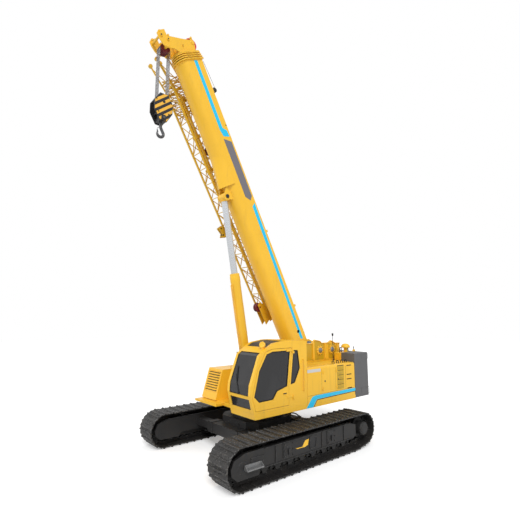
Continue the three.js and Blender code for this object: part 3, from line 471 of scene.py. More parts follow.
# the shoes' bright edges: polish, and painted highlight
trackSteel = steelMaterial("trackShoeSteel", (0.031, 0.031, 0.032, 1), (0.045, 0.039, 0.032, 1), 0.35, 30.0, 0.4,
                           dustTop=1.6, dust=0.08, polishAndHighlight=1.0)
chainSteel = steelMaterial("trackChainSteel", (0.024, 0.024, 0.024, 1), (0.045, 0.034, 0.024, 1), 0.3, 40.0, 0.4,
                           polishAndHighlight=0.5)
stepSteel = steelMaterial("treadSteel", (0.33, 0.335, 0.34, 1), (0.15, 0.12, 0.09, 1), 0.2, 60.0, 0.6)
gearSteel = steelMaterial("gearboxGrey", (0.3, 0.31, 0.33, 1), (0.18, 0.16, 0.14, 1), 0.25, 30.0, 0.3)
hookSteel = steelMaterial("forgedHook", (0.13, 0.133, 0.14, 1), (0.09, 0.07, 0.06, 1), 0.3, 22.0, 0.6, polishAndHighlight=0.6)
engineIron = steelMaterial("engineIron", (0.07, 0.07, 0.068, 1), (0.07, 0.045, 0.03, 1), 0.3, 18.0, 0.3)
print("finishes made")


def glassMaterial():
    # dark tinted pane with a faint smear of dust
    material, tree, sockets = newMaterial("tintedGlass", Transmission_Weight=0.22, IOR=1.45, Specular_IOR_Level=0.42)
    smear = ramp(tree, noise(tree, 2.2, 5.0, (1, 1, 0.5)), 0.45, 0.8)
    tree.links.new(blendColours(tree, smear, (0.033, 0.033, 0.035, 1), (0.048, 0.048, 0.05, 1)),
                   sockets["Base Color"])
    tree.links.new(ramp(tree, smear, 0, 1, 0.06, 0.16), sockets["Roughness"])
    return material


def chromeMaterial():
    # hard-chromed rod: pale blue-grey with fine rings of polish
    material, tree, sockets = newMaterial("chromedRod", Metallic=0.55, Coat_Weight=0.4, Coat_Roughness=0.08)
    rings = noise(tree, 5.0, 4.0, (6, 6, 14))
    tree.links.new(blendColours(tree, ramp(tree, rings, 0.35, 0.7), (0.63, 0.65, 0.67, 1), (0.52, 0.54, 0.57, 1)),
                   sockets["Base Color"])
    tree.links.new(ramp(tree, rings, 0.3, 0.7, 0.2, 0.34), sockets["Roughness"])
    return material


def ropeMaterial():
    # greased wire rope: strands by the UV map, the valleys between them darkened as painted shade
    material, tree, sockets = newMaterial("wireRope", Metallic=0.55, Roughness=0.42)
    lay = useGroup(tree, layGroup, Strands=6.0, Lay=9.0)
    colour = blendColours(tree, lay["Mask"], (0.3, 0.3, 0.31, 1), (0.05, 0.048, 0.045, 1))
    tree.links.new(blendColours(tree, ramp(tree, noise(tree, 8.0), 0.45, 0.7, 0, 0.4), colour, (0.12, 0.11, 0.1, 1)),
                   sockets["Base Color"])
    addBump(tree, sockets, lay["Height"], 0.6, 0.003)
    return material


def rubberMaterial(name, dark, pale, fineness, bump):
    # moulded rubber, plastic or vinyl: fine pebble grain and a little chalking
    material, tree, sockets = newMaterial(name, Specular_IOR_Level=0.3)
    grain = noise(tree, fineness, 3.0)
    tree.links.new(blendColours(tree, ramp(tree, noise(tree, 3.0, 4.0), 0.4, 0.75), dark, pale),
                   sockets["Base Color"])
    tree.links.new(ramp(tree, grain, 0.3, 0.7, 0.55, 0.8), sockets["Roughness"])
    addBump(tree, sockets, grain, bump, 0.002)
    return material


def guardMaterial():
    # roof guard: a fine square mesh of dark wire
    material, tree, sockets = newMaterial("roofGuard", Specular_IOR_Level=0.3)
    axes = tree.nodes.new("ShaderNodeSeparateXYZ")
    tree.links.new(objectPoint(tree, (26, 26, 26)), axes.inputs[0])
    cells = [maths(tree, "GREATER_THAN", maths(tree, "FRACT", axes.outputs[k]), 0.62) for k in "XY"]
    wires = maths(tree, "MAXIMUM", cells[0], cells[1])
    tree.links.new(blendColours(tree, wires, (0.012, 0.011, 0.01, 1), (0.05, 0.043, 0.036, 1)), sockets["Base Color"])
    tree.links.new(ramp(tree, wires, 0, 1, 0.35, 0.6), sockets["Roughness"])
    addBump(tree, sockets, wires, 0.5, 0.004)
    return material


def stripeMaterial():
    # black paint with slanting yellow warning stripes across the block's middle
    material, tree, sockets = newMaterial("warningStripes", Specular_IOR_Level=0.35)
    axes = tree.nodes.new("ShaderNodeSeparateXYZ")
    tree.links.new(objectPoint(tree), axes.inputs[0])
    climb = maths(tree, "ADD", axes.outputs["Z"], maths(tree, "MULTIPLY", axes.outputs["X"], 0.85))
    bands = maths(tree, "FRACT", maths(tree, "MULTIPLY", maths(tree, "SUBTRACT", climb, 12.805), 5.01))
    bands = maths(tree, "LESS_THAN", bands, 0.5)
    tone = useGroup(tree, paintGroup, Paint=(0.92, 0.5, 0.06, 1), Faded=(0.8, 0.42, 0.05, 1), Grime_Amount=0.25)
    tree.links.new(blendColours(tree, bands, (0.022, 0.022, 0.024, 1), tone["Color"]), sockets["Base Color"])
    tree.links.new(tone["Roughness"], sockets["Roughness"])
    addBump(tree, sockets, tone["Height"], 0.1, 0.002)
    return material


tintedGlass, chromedRod, wireRope = glassMaterial(), chromeMaterial(), ropeMaterial()
blackRubber = rubberMaterial("blackRubber", (0.011, 0.011, 0.011, 1), (0.02, 0.02, 0.02, 1), 160.0, 0.2)
cabPlastic = rubberMaterial("cabPlastic", (0.03, 0.03, 0.032, 1), (0.042, 0.042, 0.045, 1), 220.0, 0.3)
seatVinyl = rubberMaterial("seatVinyl", (0.017, 0.017, 0.019, 1), (0.028, 0.028, 0.03, 1), 320.0, 0.4)
# near-black for latches and seams, and painted shade in slots, louvre gaps and other recesses
darkPartsAndRecessShade = rubberMaterial("darkPartsAndRecessShade", (0.02, 0.016, 0.01, 1), (0.035, 0.028, 0.018, 1), 60.0, 0.2)
roofGuard, warningStripes = guardMaterial(), stripeMaterial()

nodeFinish = {
    "track_frame": charcoal, "roller_row": chainSteel, "carrier_roller": chainSteel, "idler": chainSteel,
    "sprocket": charcoal, "track": trackSteel, "step": stepSteel, "carbody": charcoal, "slewing_ring": charcoal,
    "deck_frame": yellow, "cab_shell": yellow, "cab_door": yellow, "engine_cover": yellow, "right_hood": yellow,
    # the jib takes the darkened yellow: painted shade
    "boom": yellow, "jib": shadedLatticeYellow, "luff_barrel": yellow, "luff_rod": chromedRod, "counterweight": weightGrey,
    "main_winch": gearSteel, "aux_winch": gearSteel, "head_sheaves": redPaint, "top_sheave": brightRed,
    "block_sheaves": redPaint, "rope": wireRope, "hook_block": blackPaint, "hook": hookSteel,
    "operator_seat": seatVinyl, "control_console": cabPlastic, "engine_block": engineIron, "roof_window": roofGuard,
    "windshield": tintedGlass, "lower_front_window": tintedGlass, "right_window": tintedGlass,
    "rear_window": tintedGlass, "side_window": tintedGlass, "door_window": tintedGlass,
}
for nodeName, node in cadNodes.items():
    match = max((key for key in nodeFinish if nodeName.startswith(key)), key=len)
    node.data.materials.clear()
    node.data.materials.append(nodeFinish[match])

# ---- crawler tracks ----
trackShape = {
    "circles": [(-1.85, 0.28, 0.28), (2.25, 0.5, 0.5), (-2.29, 0.54, 0.46)],  # x, z and radius to the grouser tips
    "shoes": 48,
    "centre": 1.88,
    "halfWidth": 0.38,
    "linkRows": (-0.075, 0.075),
    "boltRows": (-0.115, -0.055, 0.055, 0.115),
}


def beltFrames(circles, count, samples=1440):
    # outline of the circles' hull: at each heading the circle that reaches furthest, then equal steps of length
    circles = np.array(circles)
    turn = np.linspace(0, 2 * np.pi, samples, endpoint=False)
    out = np.stack([np.cos(turn), np.sin(turn)], -1)
    furthest = np.argmax(circles[:, :2] @ out.T + circles[:, 2:], 0)
    edge = circles[furthest, :2] + circles[furthest, 2:] * out
    closedEdge = np.concatenate([edge, edge[:1]])
    reach = np.concatenate([[0], np.cumsum(np.linalg.norm(np.diff(closedEdge, axis=0), axis=1))])
    at = np.arange(count) / count * reach[-1]
    unwrapped = np.concatenate([turn, [2 * np.pi]])
    place = np.stack([np.interp(at, reach, closedEdge[:, k]) for k in (0, 1)], -1)
    heading = np.interp(at, reach, unwrapped)
    return place, np.stack([np.cos(heading), np.sin(heading)], -1), reach[-1] / count


def aroundBelt(profile, places, outward, low, high, bevel=0.0):
    # one profile (along the belt, outwards) repeated at every place and raised across the track from low to high
    profile = np.asarray(profile, float)
    along = np.stack([-outward[:, 1], outward[:, 0]], -1)
    flat = places[:, None] + profile[None, :, :1] * along[:, None] + profile[None, :, 1:] * outward[:, None]
    return combine(*(slab(outline, low, high, "y", bevel) for outline in flat))


def buildTrack(side):
    s = trackShape
    places, outward, pitch = beltFrames(s["circles"], s["shoes"])
    half = pitch / 2
    shoe = [(-half + 0.004, -0.058), (-half - 0.008, -0.034), (-half + 0.012, -0.03), (-0.034, -0.032),
            (-0.016, -0.001),
            (0.014, -0.001), (0.03, -0.032), (half - 0.045, -0.032), (half - 0.036, -0.02), (half - 0.022, -0.02),
            (half - 0.012, -0.038), (half - 0.01, -0.058)]
    links = [(-half + 0.01, -0.06), (-half - 0.02, -0.1), (-half + 0.005, -0.152), (-0.05, -0.166), (0.05, -0.166),
             (half - 0.03, -0.15), (half - 0.012, -0.11), (half - 0.025, -0.06)]
    centre, wide = s["centre"], s["halfWidth"]
    shoes = [aroundBelt(shoe, places, outward, centre - wide, centre + wide, 0.004)]
    chain = [aroundBelt(links, places, outward, centre + row - 0.024, centre + row + 0.024, 0.003)
             for row in s["linkRows"]]
    along = np.stack([-outward[:, 1], outward[:, 0]], -1)
    pins = places - 0.125 * outward + half * along
    pinStart = lift(pins, centre - 0.112, "y")
    chain.append(rods(pinStart, pinStart + [0, 0.224, 0], 0.024, 8))
    face = lift(outward, 0.0, "y")
    for row in s["boltRows"]:
        for shift in (-0.062, 0.056):
            spots = lift(places - 0.034 * outward + shift * along, centre + row, "y")
            shoes.append(rods(spots, spots + face * 0.014, 0.013, 6))
    if side == "right":
        shoes, chain = [mirrored(p) for p in shoes], [mirrored(p) for p in chain]
    body = "crawler_" + side
    plates = makePiece("trackShoes" + side.title(), body, trackSteel, "track_steel", *shoes)
    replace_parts(plates, "track_" + side)
    makePiece("trackChain" + side.title(), body, chainSteel, "track_steel", *chain)


# bolted plates, pocket, guards and caps on the side frame's outer face: x, z ranges
sideDetail = {
    "plates": [(0.645, 1.005, 0.42, 0.775), (-0.965, -0.625, 0.42, 0.775)],
    "tick": [(0.58, 0.568), (0.326, 0.56), (0.229, 0.69), (0.088, 0.705), (0.124, 0.567), (0.233, 0.536),
             (0.511, 0.545)],
    "pocket": [(-0.15, 0.45), (0.06, 0.455), (0.05, 0.74), (-0.02, 0.77), (-0.21, 0.69)],
    "rollers": np.linspace(-1.65, 1.73, 9),
    "rollerHeight": 0.2585,
    "adjuster": (1.62, 2.02, 0.5, 0.66),
    "driveCentre": (-2.29, 0.54),
}


def rectangle(x0, x1, z0, z1):
    return [(x0, z0), (x1, z0), (x1, z1), (x0, z1)]


def buildSideFrame(side):
    d, face = sideDetail, frameFace
    painted, dark, steel = [], [], []
    for x0, x1, z0, z1 in d["plates"]:
        painted.append(slab(rectangle(x0, x1, z0, z1), face, face + 0.022, "y", 0.006))
        # a dark border round each plate: painted shade
        dark.append(slab(rectangle(x0 - 0.016, x1 + 0.016, z0 - 0.016, z1 + 0.004), face + decalGap, face + 0.003,
                         "y", 0.0005))
        xm = (x0 + x1) / 2
        arch = [(xm - 0.07, z0 + 0.04), (xm + 0.07, z0 + 0.04), (xm + 0.07, z1 - 0.13), (xm + 0.035, z1 - 0.075),
                (xm - 0.035, z1 - 0.075), (xm - 0.07, z1 - 0.13)]
        # a dark arch on each plate round its rib: painted shade
        dark.append(slab(arch, face + 0.02, face + 0.027, "y", 0.002))
        painted.append(slab(rectangle(xm - 0.028, xm + 0.028, z0 + 0.07, z1 - 0.15), face + 0.02, face + 0.06,
                            "y", 0.006))
        corners = [(x, face + 0.02, z) for x in (x0 + 0.045, x1 - 0.045)
                   for z in (z0 + 0.045, (z0 + z1) / 2, z1 - 0.045)]
        steel.append(bolts(corners, (0, 1, 0), 0.017, 0.016))
    # the pocket as a flat dark sheet: painted shade in its hollow
    dark.append(slab(d["pocket"], face + 0.001, face + 0.004, "y", 0.001))
    rim = lift(np.array(d["pocket"]), face + 0.008, "y")
    painted.append(tube(rounded(rim, 0.03, 4, closed=True), 0.012, 8, closed=True))
    x0, x1, z0, z1 = d["adjuster"]
    painted.append(slab(rectangle(x0, x1, z0, z1), face, face + 0.012, "y", 0.004))
    steel.append(bolts([(x, face + 0.01, z) for x in (x0 + 0.03, x1 - 0.03) for z in (z0 + 0.03, z1 - 0.03)],
                       (0, 1, 0)))
    # weld-on ledge along the top and a rib along the foot, with guards between the rollers
    painted.append(block((-1.62, face - 0.02, 0.782), (1.62, face + 0.03, 0.802), 0.004))
    painted.append(block((-1.74, face - 0.01, 0.36), (1.7, face + 0.02, 0.385), 0.005))
    for x in (1.25, -0.42, -1.35):
        painted.append(block((x - 0.011, face - 0.005, 0.385), (x + 0.011, face + 0.018, 0.782), 0.003))
    rollers, height = d["rollers"], d["rollerHeight"]
    gaps = (rollers[1:] + rollers[:-1]) / 2
    guard = np.array([(-0.115, 0.362), (-0.13, 0.3), (-0.075, 0.262), (-0.06, 0.2), (0.06, 0.2), (0.075, 0.262),
                      (0.13, 0.3), (0.115, 0.362)])
    for x in gaps:
        painted.append(slab(guard + [x, 0], face - 0.118, face - 0.09, "y", 0.004))
    caps = [(x, face - 0.135, height) for x in rollers]
    for cap in caps:
        steel.append(turned([(0.001, 0.04), (0.03, 0.04), (0.042, 0.032), (0.045, 0.0)], cap, (0, 1, 0), 16))
    for x in (1.45, -1.15):
        painted.append(slab([(x - 0.1, 0.79), (x + 0.1, 0.79), (x + 0.045, 0.86), (x - 0.045, 0.86)],
                            face - 0.25, face - 0.2, "y", 0.004))
        steel.append(turned([(0.001, 0.03), (0.022, 0.03), (0.03, 0.02), (0.03, 0.0)], (x, face - 0.23, 0.782),
                            (0, 1, 0)))
    # final drive: domed cover with a ring of bolts
    cx, cz = d["driveCentre"]
    cover = [(0.001, 0.012), (0.12, 0.012), (0.165, 0.004), (0.19, -0.02), (0.195, -0.05), (0.195, -0.16),
             (0.12, -0.16)]
    painted.append(turned(cover, (cx, face + 0.03, cz), (0, 1, 0), 40))
    turn = np.linspace(0, 2 * np.pi, 12, endpoint=False)
    ring = np.stack([cx + 0.172 * np.cos(turn), np.full(12, face + 0.026), cz + 0.172 * np.sin(turn)], -1)
    steel.append(bolts(ring, (0, 1, 0), 0.011, 0.014))
    # flat cover over the idler's hub
    painted.append(turned([(0.001, 0.006), (0.125, 0.006), (0.13, 0.0)], (2.25, face, 0.5), (0, 1, 0)))
    body = "crawler_" + side
    tick = slab(d["tick"], face + decalGap, face + 0.003, "y", 0.0005)
    makePiece("frameMark" + side.title(), body, yellow, "yellow_paint", mirrored(tick) if side == "right" else tick)
    # the dark borders, arches and pocket in black paint are painted shade
    for name, material, parts in (("framePlates", charcoal, painted), ("framePaintedShade", blackPaint, dark),
                                  ("frameBolts", chainSteel, steel)):
        parts = [mirrored(p) for p in parts] if side == "right" else parts
        makePiece(name + side.title(), body, material, "charcoal_paint", *parts)


def buildTreads(side):
    # raised pads on the tread plate and its two side gussets
    xs, ys = np.meshgrid(np.linspace(1.76, 2.16, 9), [2.2, 2.23, 2.26, 2.29])
    pads = np.stack([xs.ravel(), ys.ravel(), np.full(xs.size, 0.469)], -1)
    parts = [rods(pads, pads + [0, 0, 0.007], 0.008, 6)]
    for x in (1.726, 2.194):
        parts.append(slab([(2.19, 0.47), (2.19, 0.55), (2.21, 0.55), (2.305, 0.47)], x - 0.005, x + 0.005, "x",
                          0.001))
    parts = [mirrored(p) for p in parts] if side == "right" else parts
    makePiece("stepTread" + side.title(), "crawler_" + side, stepSteel, "step_grey", *parts)


for side in ("left", "right"):
    buildTrack(side)
    buildSideFrame(side)
    buildTreads(side)
print("tracks built")

# ---- carbody: covers, bolts round the slewing ring, pipes to the drives ----
carbodyDetail = {"ringBolts": 40, "ringRadius": 0.725, "ringHeight": 1.05, "coverHalf": 0.26}


def buildCarbody():
    d = carbodyDetail
    turn = np.linspace(0, 2 * np.pi, d["ringBolts"], endpoint=False)
    ring = np.stack([d["ringRadius"] * np.cos(turn), d["ringRadius"] * np.sin(turn),
                     np.full(len(turn), d["ringHeight"])], -1)
    steel = [bolts(ring, (0, 0, 1), 0.014, 0.02)]
    painted = []
    for end in (1, -1):
        face = 0.89 * end
        half = d["coverHalf"]
        cover = [(-half, 0.56), (half, 0.56), (half, 0.84), (-half, 0.84)]
        painted.append(slab(cover, face, face + 0.015 * end, "x", 0.004))
        corners = [(face + 0.013 * end, y, z) for y in (-half + 0.04, half - 0.04) for z in (0.6, 0.8)]
        steel.append(bolts(corners, (end, 0, 0), 0.014, 0.012))
        for y in (0.62, -0.62):  # stiffening frames round the beam tubes, clear of the beams that slide in them
            x = 1.05 * end
            for rib in ((x - 0.2, x - 0.178, 0.44, 0.76), (x + 0.178, x + 0.2, 0.44, 0.76),
                        (x - 0.2, x + 0.2, 0.44, 0.452), (x - 0.2, x + 0.2, 0.748, 0.76)):
                painted.append(slab(rectangle(*rib), y - 0.02, y + 0.02, "y", 0.002))
    for side in (1, -1):
        path = rounded([(-0.7, 0.5 * side, 0.93), (-0.86, 0.75 * side, 0.93), (-0.86, 1.0 * side, 0.86),
                        (-0.86, 1.5 * side, 0.74)], 0.08)
        steel.append(tube(path[:8], 0.02, 10))
    makePiece("carbodyCovers", "base", charcoal, "charcoal_paint", *painted)
    makePiece("carbodyBolts", "base", chainSteel, "charcoal_paint", *steel)


buildCarbody()

# ---- cab ----
cabShape = {
    "left": 1.49,
    "right": 0.49,
    "doorWindow": [(0.17, 1.93), (0.54, 1.84), (0.69, 1.64), (1.18, 1.63), (1.35, 1.78), (1.18, 2.42), (0.92, 2.83),
                   (0.71, 2.89), (0.05, 2.89)],
    "sideWindow": [(-0.34, 2.38), (-0.13, 1.99), (0.04, 1.96), (-0.08, 2.89), (-0.26, 2.88)],
    "rightWindow": [(0.06, 1.85), (1.28, 1.80), (1.13, 2.42), (0.88, 2.83), (0.06, 2.89)],
    "sealRadius": 0.009,
    "frontEdge": [(1.362, 1.42), (1.475, 1.83), (1.456, 2.07), (1.178, 2.80), (0.918, 2.985), (0.68, 3.1)],
    "railRadius": 0.035,
}


def windowSeal(outline, level, inset=0.012):
    # a round bead just inside a window's rim
    path = lift(insetOutline(outline, inset), level, "y")
    return tube(rounded(path, 0.03, 4, closed=True), cabShape["sealRadius"], 8, closed=True)


def buildCab():
    c = cabShape
    seals = [windowSeal(c["sideWindow"], c["left"] - 0.008), windowSeal(c["rightWindow"], c["right"] + 0.008)]
    front = np.array(c["frontEdge"])
    # front screen beads: up both sides of the glass
    for y in (0.592, 1.388):
        edge = lift(front[1:4] + [-0.012, 0.0], y, "y")
        seals.append(tube(rounded(edge, 0.1), 0.009, 8))
    makePiece("cabSeals", "upperworks", blackRubber, "cab_plastic", *seals)
    makePiece("doorSeal", "door", blackRubber, "cab_plastic", windowSeal(c["doorWindow"], c["left"] - 0.008))
    # rolled corner posts and roof rails that round off the cab's left and right front edges
    posts = []
    for y in (c["left"] - 0.035, c["right"] + 0.035):
        path = np.array([(1.33, 1.4), (1.435, 1.83), (1.42, 2.05), (1.15, 2.77), (0.9, 2.955), (0.67, 3.07),
                         (0.3, 3.12),
                         (-0.05, 3.125), (-0.6, 3.09)])
        posts.append(tube(rounded(lift(path, y, "y"), 0.16, 7), c["railRadius"], 14))
    makePiece("cabRails", "upperworks", yellow, "yellow_paint", *posts)
    # wiper, its arm and motor cap
    wiper = [tube(rounded([(1.47, 0.98, 1.86), (1.472, 0.93, 1.98), (1.395, 0.78, 2.3)], 0.05), 0.009, 8)]
    blade = np.array([(1.437, 0.86, 2.12), (1.3, 0.72, 2.5)])
    wiper.append(rods(blade[:1], blade[1:], 0.012, 8))
    wiper.append(turned([(0.001, 0.03), (0.024, 0.028), (0.03, 0.0)], (1.46, 0.98, 1.845), (1, 0, 0.2), 20))
    # mirror on two short arms off the right wall
    mirrorFace = [(0.335, 2.42), (0.465, 2.4), (0.47, 2.8), (0.345, 2.84)]
    wiper.append(slab(mirrorFace, 1.04, 1.08, "x", 0.014))
    for z in (2.5, 2.72):
        wiper.append(tube(rounded([(1.0, 0.49, z), (1.05, 0.45, z), (1.06, 0.41, z)], 0.02), 0.012, 8))
    makePiece("wiperAndMirrorCase", "upperworks", blackRubber, "cab_plastic", *wiper)
    makePiece("mirrorGlass", "upperworks", chromedRod, "tinted_glass",
              slab(insetOutline(mirrorFace, 0.018), 1.033, 1.039, "x", 0.001))
    # work lamp on the roof's left front corner: a turned bowl on a bracket
    lampCentre = np.array([0.96, 1.36, 3.075])
    bowl = [(0.001, -0.075), (0.045, -0.07), (0.075, -0.04), (0.088, 0.0), (0.085, 0.03), (0.07, 0.045), (0.06, 0.04),
            (0.001, 0.04)]
    lamp = [turned(bowl, lampCentre, (0.85, 0.3, 0.1), 32)]
    lamp.append(block(lampCentre + [-0.03, -0.03, -0.13], lampCentre + [0.03, 0.03, -0.05]))
    makePiece("roofLamp", "upperworks", yellow, "yellow_paint", *lamp)
    # grab rail behind the door
    grabs = []
    for x, z0, z1 in ((-0.46, 1.75, 2.6),):
        grabs.append(tube(rounded([(x, 1.485, z0), (x, 1.545, z0), (x, 1.545, z1), (x, 1.485, z1)], 0.04), 0.014, 10))
    makePiece("cabGrabRail", "upperworks", yellow, "yellow_paint", *grabs)
    # door handle: a recessed cup with a bar across it
    handle = [slab([(0.2, 1.71), (0.34, 1.71), (0.34, 1.79), (0.2, 1.79)], 1.49, 1.497, "y", 0.003)]
    bar = [slab([(0.21, 1.738), (0.33, 1.738), (0.33, 1.762), (0.21, 1.762)], 1.494, 1.512, "y", 0.004)]
    makePiece("doorHandle", "door", yellow, "yellow_paint", *handle)
    makePiece("doorHandleBar", "door", blackRubber, "cab_plastic", *bar)


seatShape = {"middle": 0.99, "floor": 1.42, "crown": 0.18, "square": 0.32}


def cushion(centre, half, lean=0.0):
    # a crowned pad: sphere angles raised to a small power for square plan corners, sides drawn in between corners
    u = np.linspace(0, 2 * np.pi, 48, endpoint=False)
    v = np.linspace(-np.pi / 2, np.pi / 2, 21)[1:-1]
    squared = lambda wave: np.sign(wave) * np.abs(wave) ** seatShape["square"]
    cu, su = squared(np.cos(u)), squared(np.sin(u))
    cv, sv = np.cos(v) ** 0.45, np.sign(np.sin(v)) * np.abs(np.sin(v)) ** 0.75
    waist = 1 - 0.035 * np.cos(2 * u) ** 2
    x = cv[:, None] * (cu * waist)[None]
    y = cv[:, None] * (su * waist)[None]
    z = sv[:, None] * (1 + seatShape["crown"] * (1 - x**2) * (1 - y**2))
    points = np.stack([x, y, z], -1) * half
    turn = np.array([[np.cos(lean), 0, np.sin(lean)], [0, 1, 0], [-np.sin(lean), 0, np.cos(lean)]])
    return ringStack(points @ turn.T + centre)


def buildCabInside():
    s = seatShape
    y, floor = s["middle"], s["floor"]
    pads = [("seatPad", (0.12, y, floor + 0.4), (0.26, 0.245, 0.062), 0.0),
            ("seatBack", (-0.115, y, floor + 0.74), (0.055, 0.235, 0.32), -0.12),
            ("seatHeadrest", (-0.175, y, floor + 1.0), (0.04, 0.13, 0.065), -0.12)]
    for name, centre, half, lean in pads:
        pad = makePiece(name, "upperworks", seatVinyl, "seat_vinyl", cushion(np.array(centre), half, lean), sharp=60)
        if name == "seatPad":
            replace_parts(pad, "operator_seat")
    base = [block((-0.04, y - 0.11, floor + 0.01), (0.24, y + 0.11, floor + 0.325), 0.02)]
    for side in (-1, 1):
        arm = (y + side * 0.33, y + side * 0.25)
        low, high = min(arm), max(arm)
        base.append(block((-0.05, low, floor + 0.48), (0.38, high, floor + 0.56), 0.02))
        stick = np.array([[0.32, y + side * 0.29, floor + 0.56], [0.34, y + side * 0.29, floor + 0.72]])
        base.append(rods(stick[:1], stick[1:], 0.012, 10))
        grip = [(0.001, -0.01), (0.02, -0.005), (0.026, 0.03), (0.022, 0.08), (0.03, 0.1), (0.02, 0.12),
                (0.001, 0.122)]
        base.append(turned(grip, stick[1], (0.1, 0, 1), 20))
    for shift in (-0.14, 0.14):  # travel pedals and their levers
        base.append(slab([(1.0, 1.43), (1.18, 1.5), (1.18, 1.52), (1.0, 1.45)], y + shift - 0.05,
                         y + shift + 0.05, "y"))
        base.append(tube([(1.06, y + shift, 1.48), (1.04, y + shift, 1.7), (0.98, y + shift, 1.98)], 0.01, 8))
    base.append(slab([(1.08, 2.12), (1.12, 2.12), (1.09, 2.34), (1.05, 2.34)], y - 0.14, y + 0.14, "y", 0.008))
    makePiece("cabControls", "upperworks", cabPlastic, "cab_plastic", *base)


buildCab()
buildCabInside()
print("cab built")

# ---- engine cover, right hood, deck and counterweight ----
coverDetail = {
    "louvre": (-2.33, -2.0, 1.59, 2.29),
    "slats": 5,
    "slots": [(-2.72, -2.48, 2.26), (-2.72, -2.48, 1.98), (-2.72, -2.48, 1.84), (-2.73, -2.5, 1.56)],
    "namePlate": (-1.22, -0.64, 2.2, 2.29),
    "seams": (-1.27, -1.92, -2.42),
    "handles": (-2.05, -2.27, -2.48, -2.69),
}


def buildEngineCover():
    d, face = coverDetail, leftSide
    stripe = [(-0.58, 1.225), (-0.86, 1.225), (-1.035, 1.425), (-2.905, 1.45), (-2.905, 1.538), (-1.01, 1.541),
              (-0.85, 1.52)]
    makePiece("coverStripe", "upperworks", cyanDecal, "yellow_paint",
              slab(stripe, face + decalGap, face + 0.003, "y", 0.0005))
    dark = [slab([(-0.875, 1.225), (-0.905, 1.225), (-1.055, 1.4), (-2.905, 1.428), (-2.905, 1.446), (-1.045, 1.42)],
                 face + decalGap, face + 0.0028, "y", 0.0005)]
    x0, x1, z0, z1 = d["louvre"]
    # a dark strip along the louvre's top and dark gaps between its slats: painted shade
    dark.append(slab(rectangle(x0, x1, z1, z1 + 0.02), face + decalGap, face + 0.003, "y", 0.0005))
    painted = []
    height = (z1 - z0) / d["slats"]
    dark += [slab(rectangle(x0 + 0.02, x1 - 0.02, z0 + k * height, z0 + k * height + 0.012), face + 0.004,
                  face + 0.0075, "y",
                  0.0005) for k in range(1, d["slats"])]
    # the louvre in the darker yellow: painted shade
    makePiece("coverLouvre", "upperworks", shadeYellow, "yellow_paint",
              slab(rectangle(x0, x1, z0, z1), face + decalGap, face + 0.006, "y", 0.002),
              *(slab(rectangle(x0 + 0.02, x1 - 0.02, z0 + (k + 0.5) * height - 0.012,
                               z0 + (k + 0.5) * height + 0.012),
                     face + 0.004, face + 0.016, "y", 0.004) for k in range(d["slats"])))
    # the vent slots as flat dark strips: painted shade in the openings
    for sx0, sx1, z in d["slots"]:
        dark.append(slab(rectangle(sx0, sx1, z, z + 0.028), face + decalGap, face + 0.003, "y", 0.0005))
    for x in d["seams"]:
        dark.append(slab(rectangle(x - 0.0025, x + 0.0025, 1.56, 2.27), face + 0.0003, face + 0.0014, "y", 0.0003))
    dark.append(slab(rectangle(-2.9, -0.66, 1.552, 1.558), face + 0.0003, face + 0.0014, "y", 0.0003))
    makePiece("coverDarkLines", "upperworks", darkPartsAndRecessShade, "yellow_paint", *dark)
    x0, x1, z0, z1 = d["namePlate"]
    makePiece("blankNamePlate", "upperworks", paleDecal, "grey_paint",
              slab(rectangle(x0, x1, z0, z1), face + decalGap, face + 0.004, "y", 0.001))
    # hinges and turn latches of the two side doors
    for x in (-1.33, -1.97):
        for z in (1.68, 2.16):
            painted.append(slab(rectangle(x - 0.03, x + 0.05, z - 0.03, z + 0.03), face, face + 0.01, "y", 0.002))
            pin = np.array([[x - 0.005, face + 0.012, z - 0.045]])
            painted.append(rods(pin, pin + [0, 0, 0.09], 0.011, 10))
    latches = [turned(latchProfile, (x, face, 1.9), (0, 1, 0), 20) for x in (-1.42, -2.04)]
    # lifting hoops on the roof
    hoops = []
    for x in d["handles"]:
        path = rounded([(x, 1.26, 2.34), (x, 1.26, 2.43), (x, 1.34, 2.43), (x, 1.34, 2.34)], 0.04, 7)
        hoops.append(tube(path, 0.013, 10))
    painted.append(slab([(-1.32, 0.72), (-0.78, 0.72), (-0.78, 1.38), (-1.32, 1.38)], 2.35, 2.362, "z", 0.004))
    painted.append(slab([(-2.72, 0.72), (-1.42, 0.72), (-1.42, 1.2), (-2.72, 1.2)], 2.35, 2.362, "z", 0.004))
    makePiece("coverFittings", "upperworks", yellow, "yellow_paint", *painted)
    makePiece("coverHandles", "upperworks", blackPaint, "block_black", *latches, *hoops)


hoodDetail = {"front": [(1.055, 1.32), (0.80, 2.2)], "slats": 8, "inner": -0.8, "outer": -1.4, "low": 0.3,
              "high": 0.88}


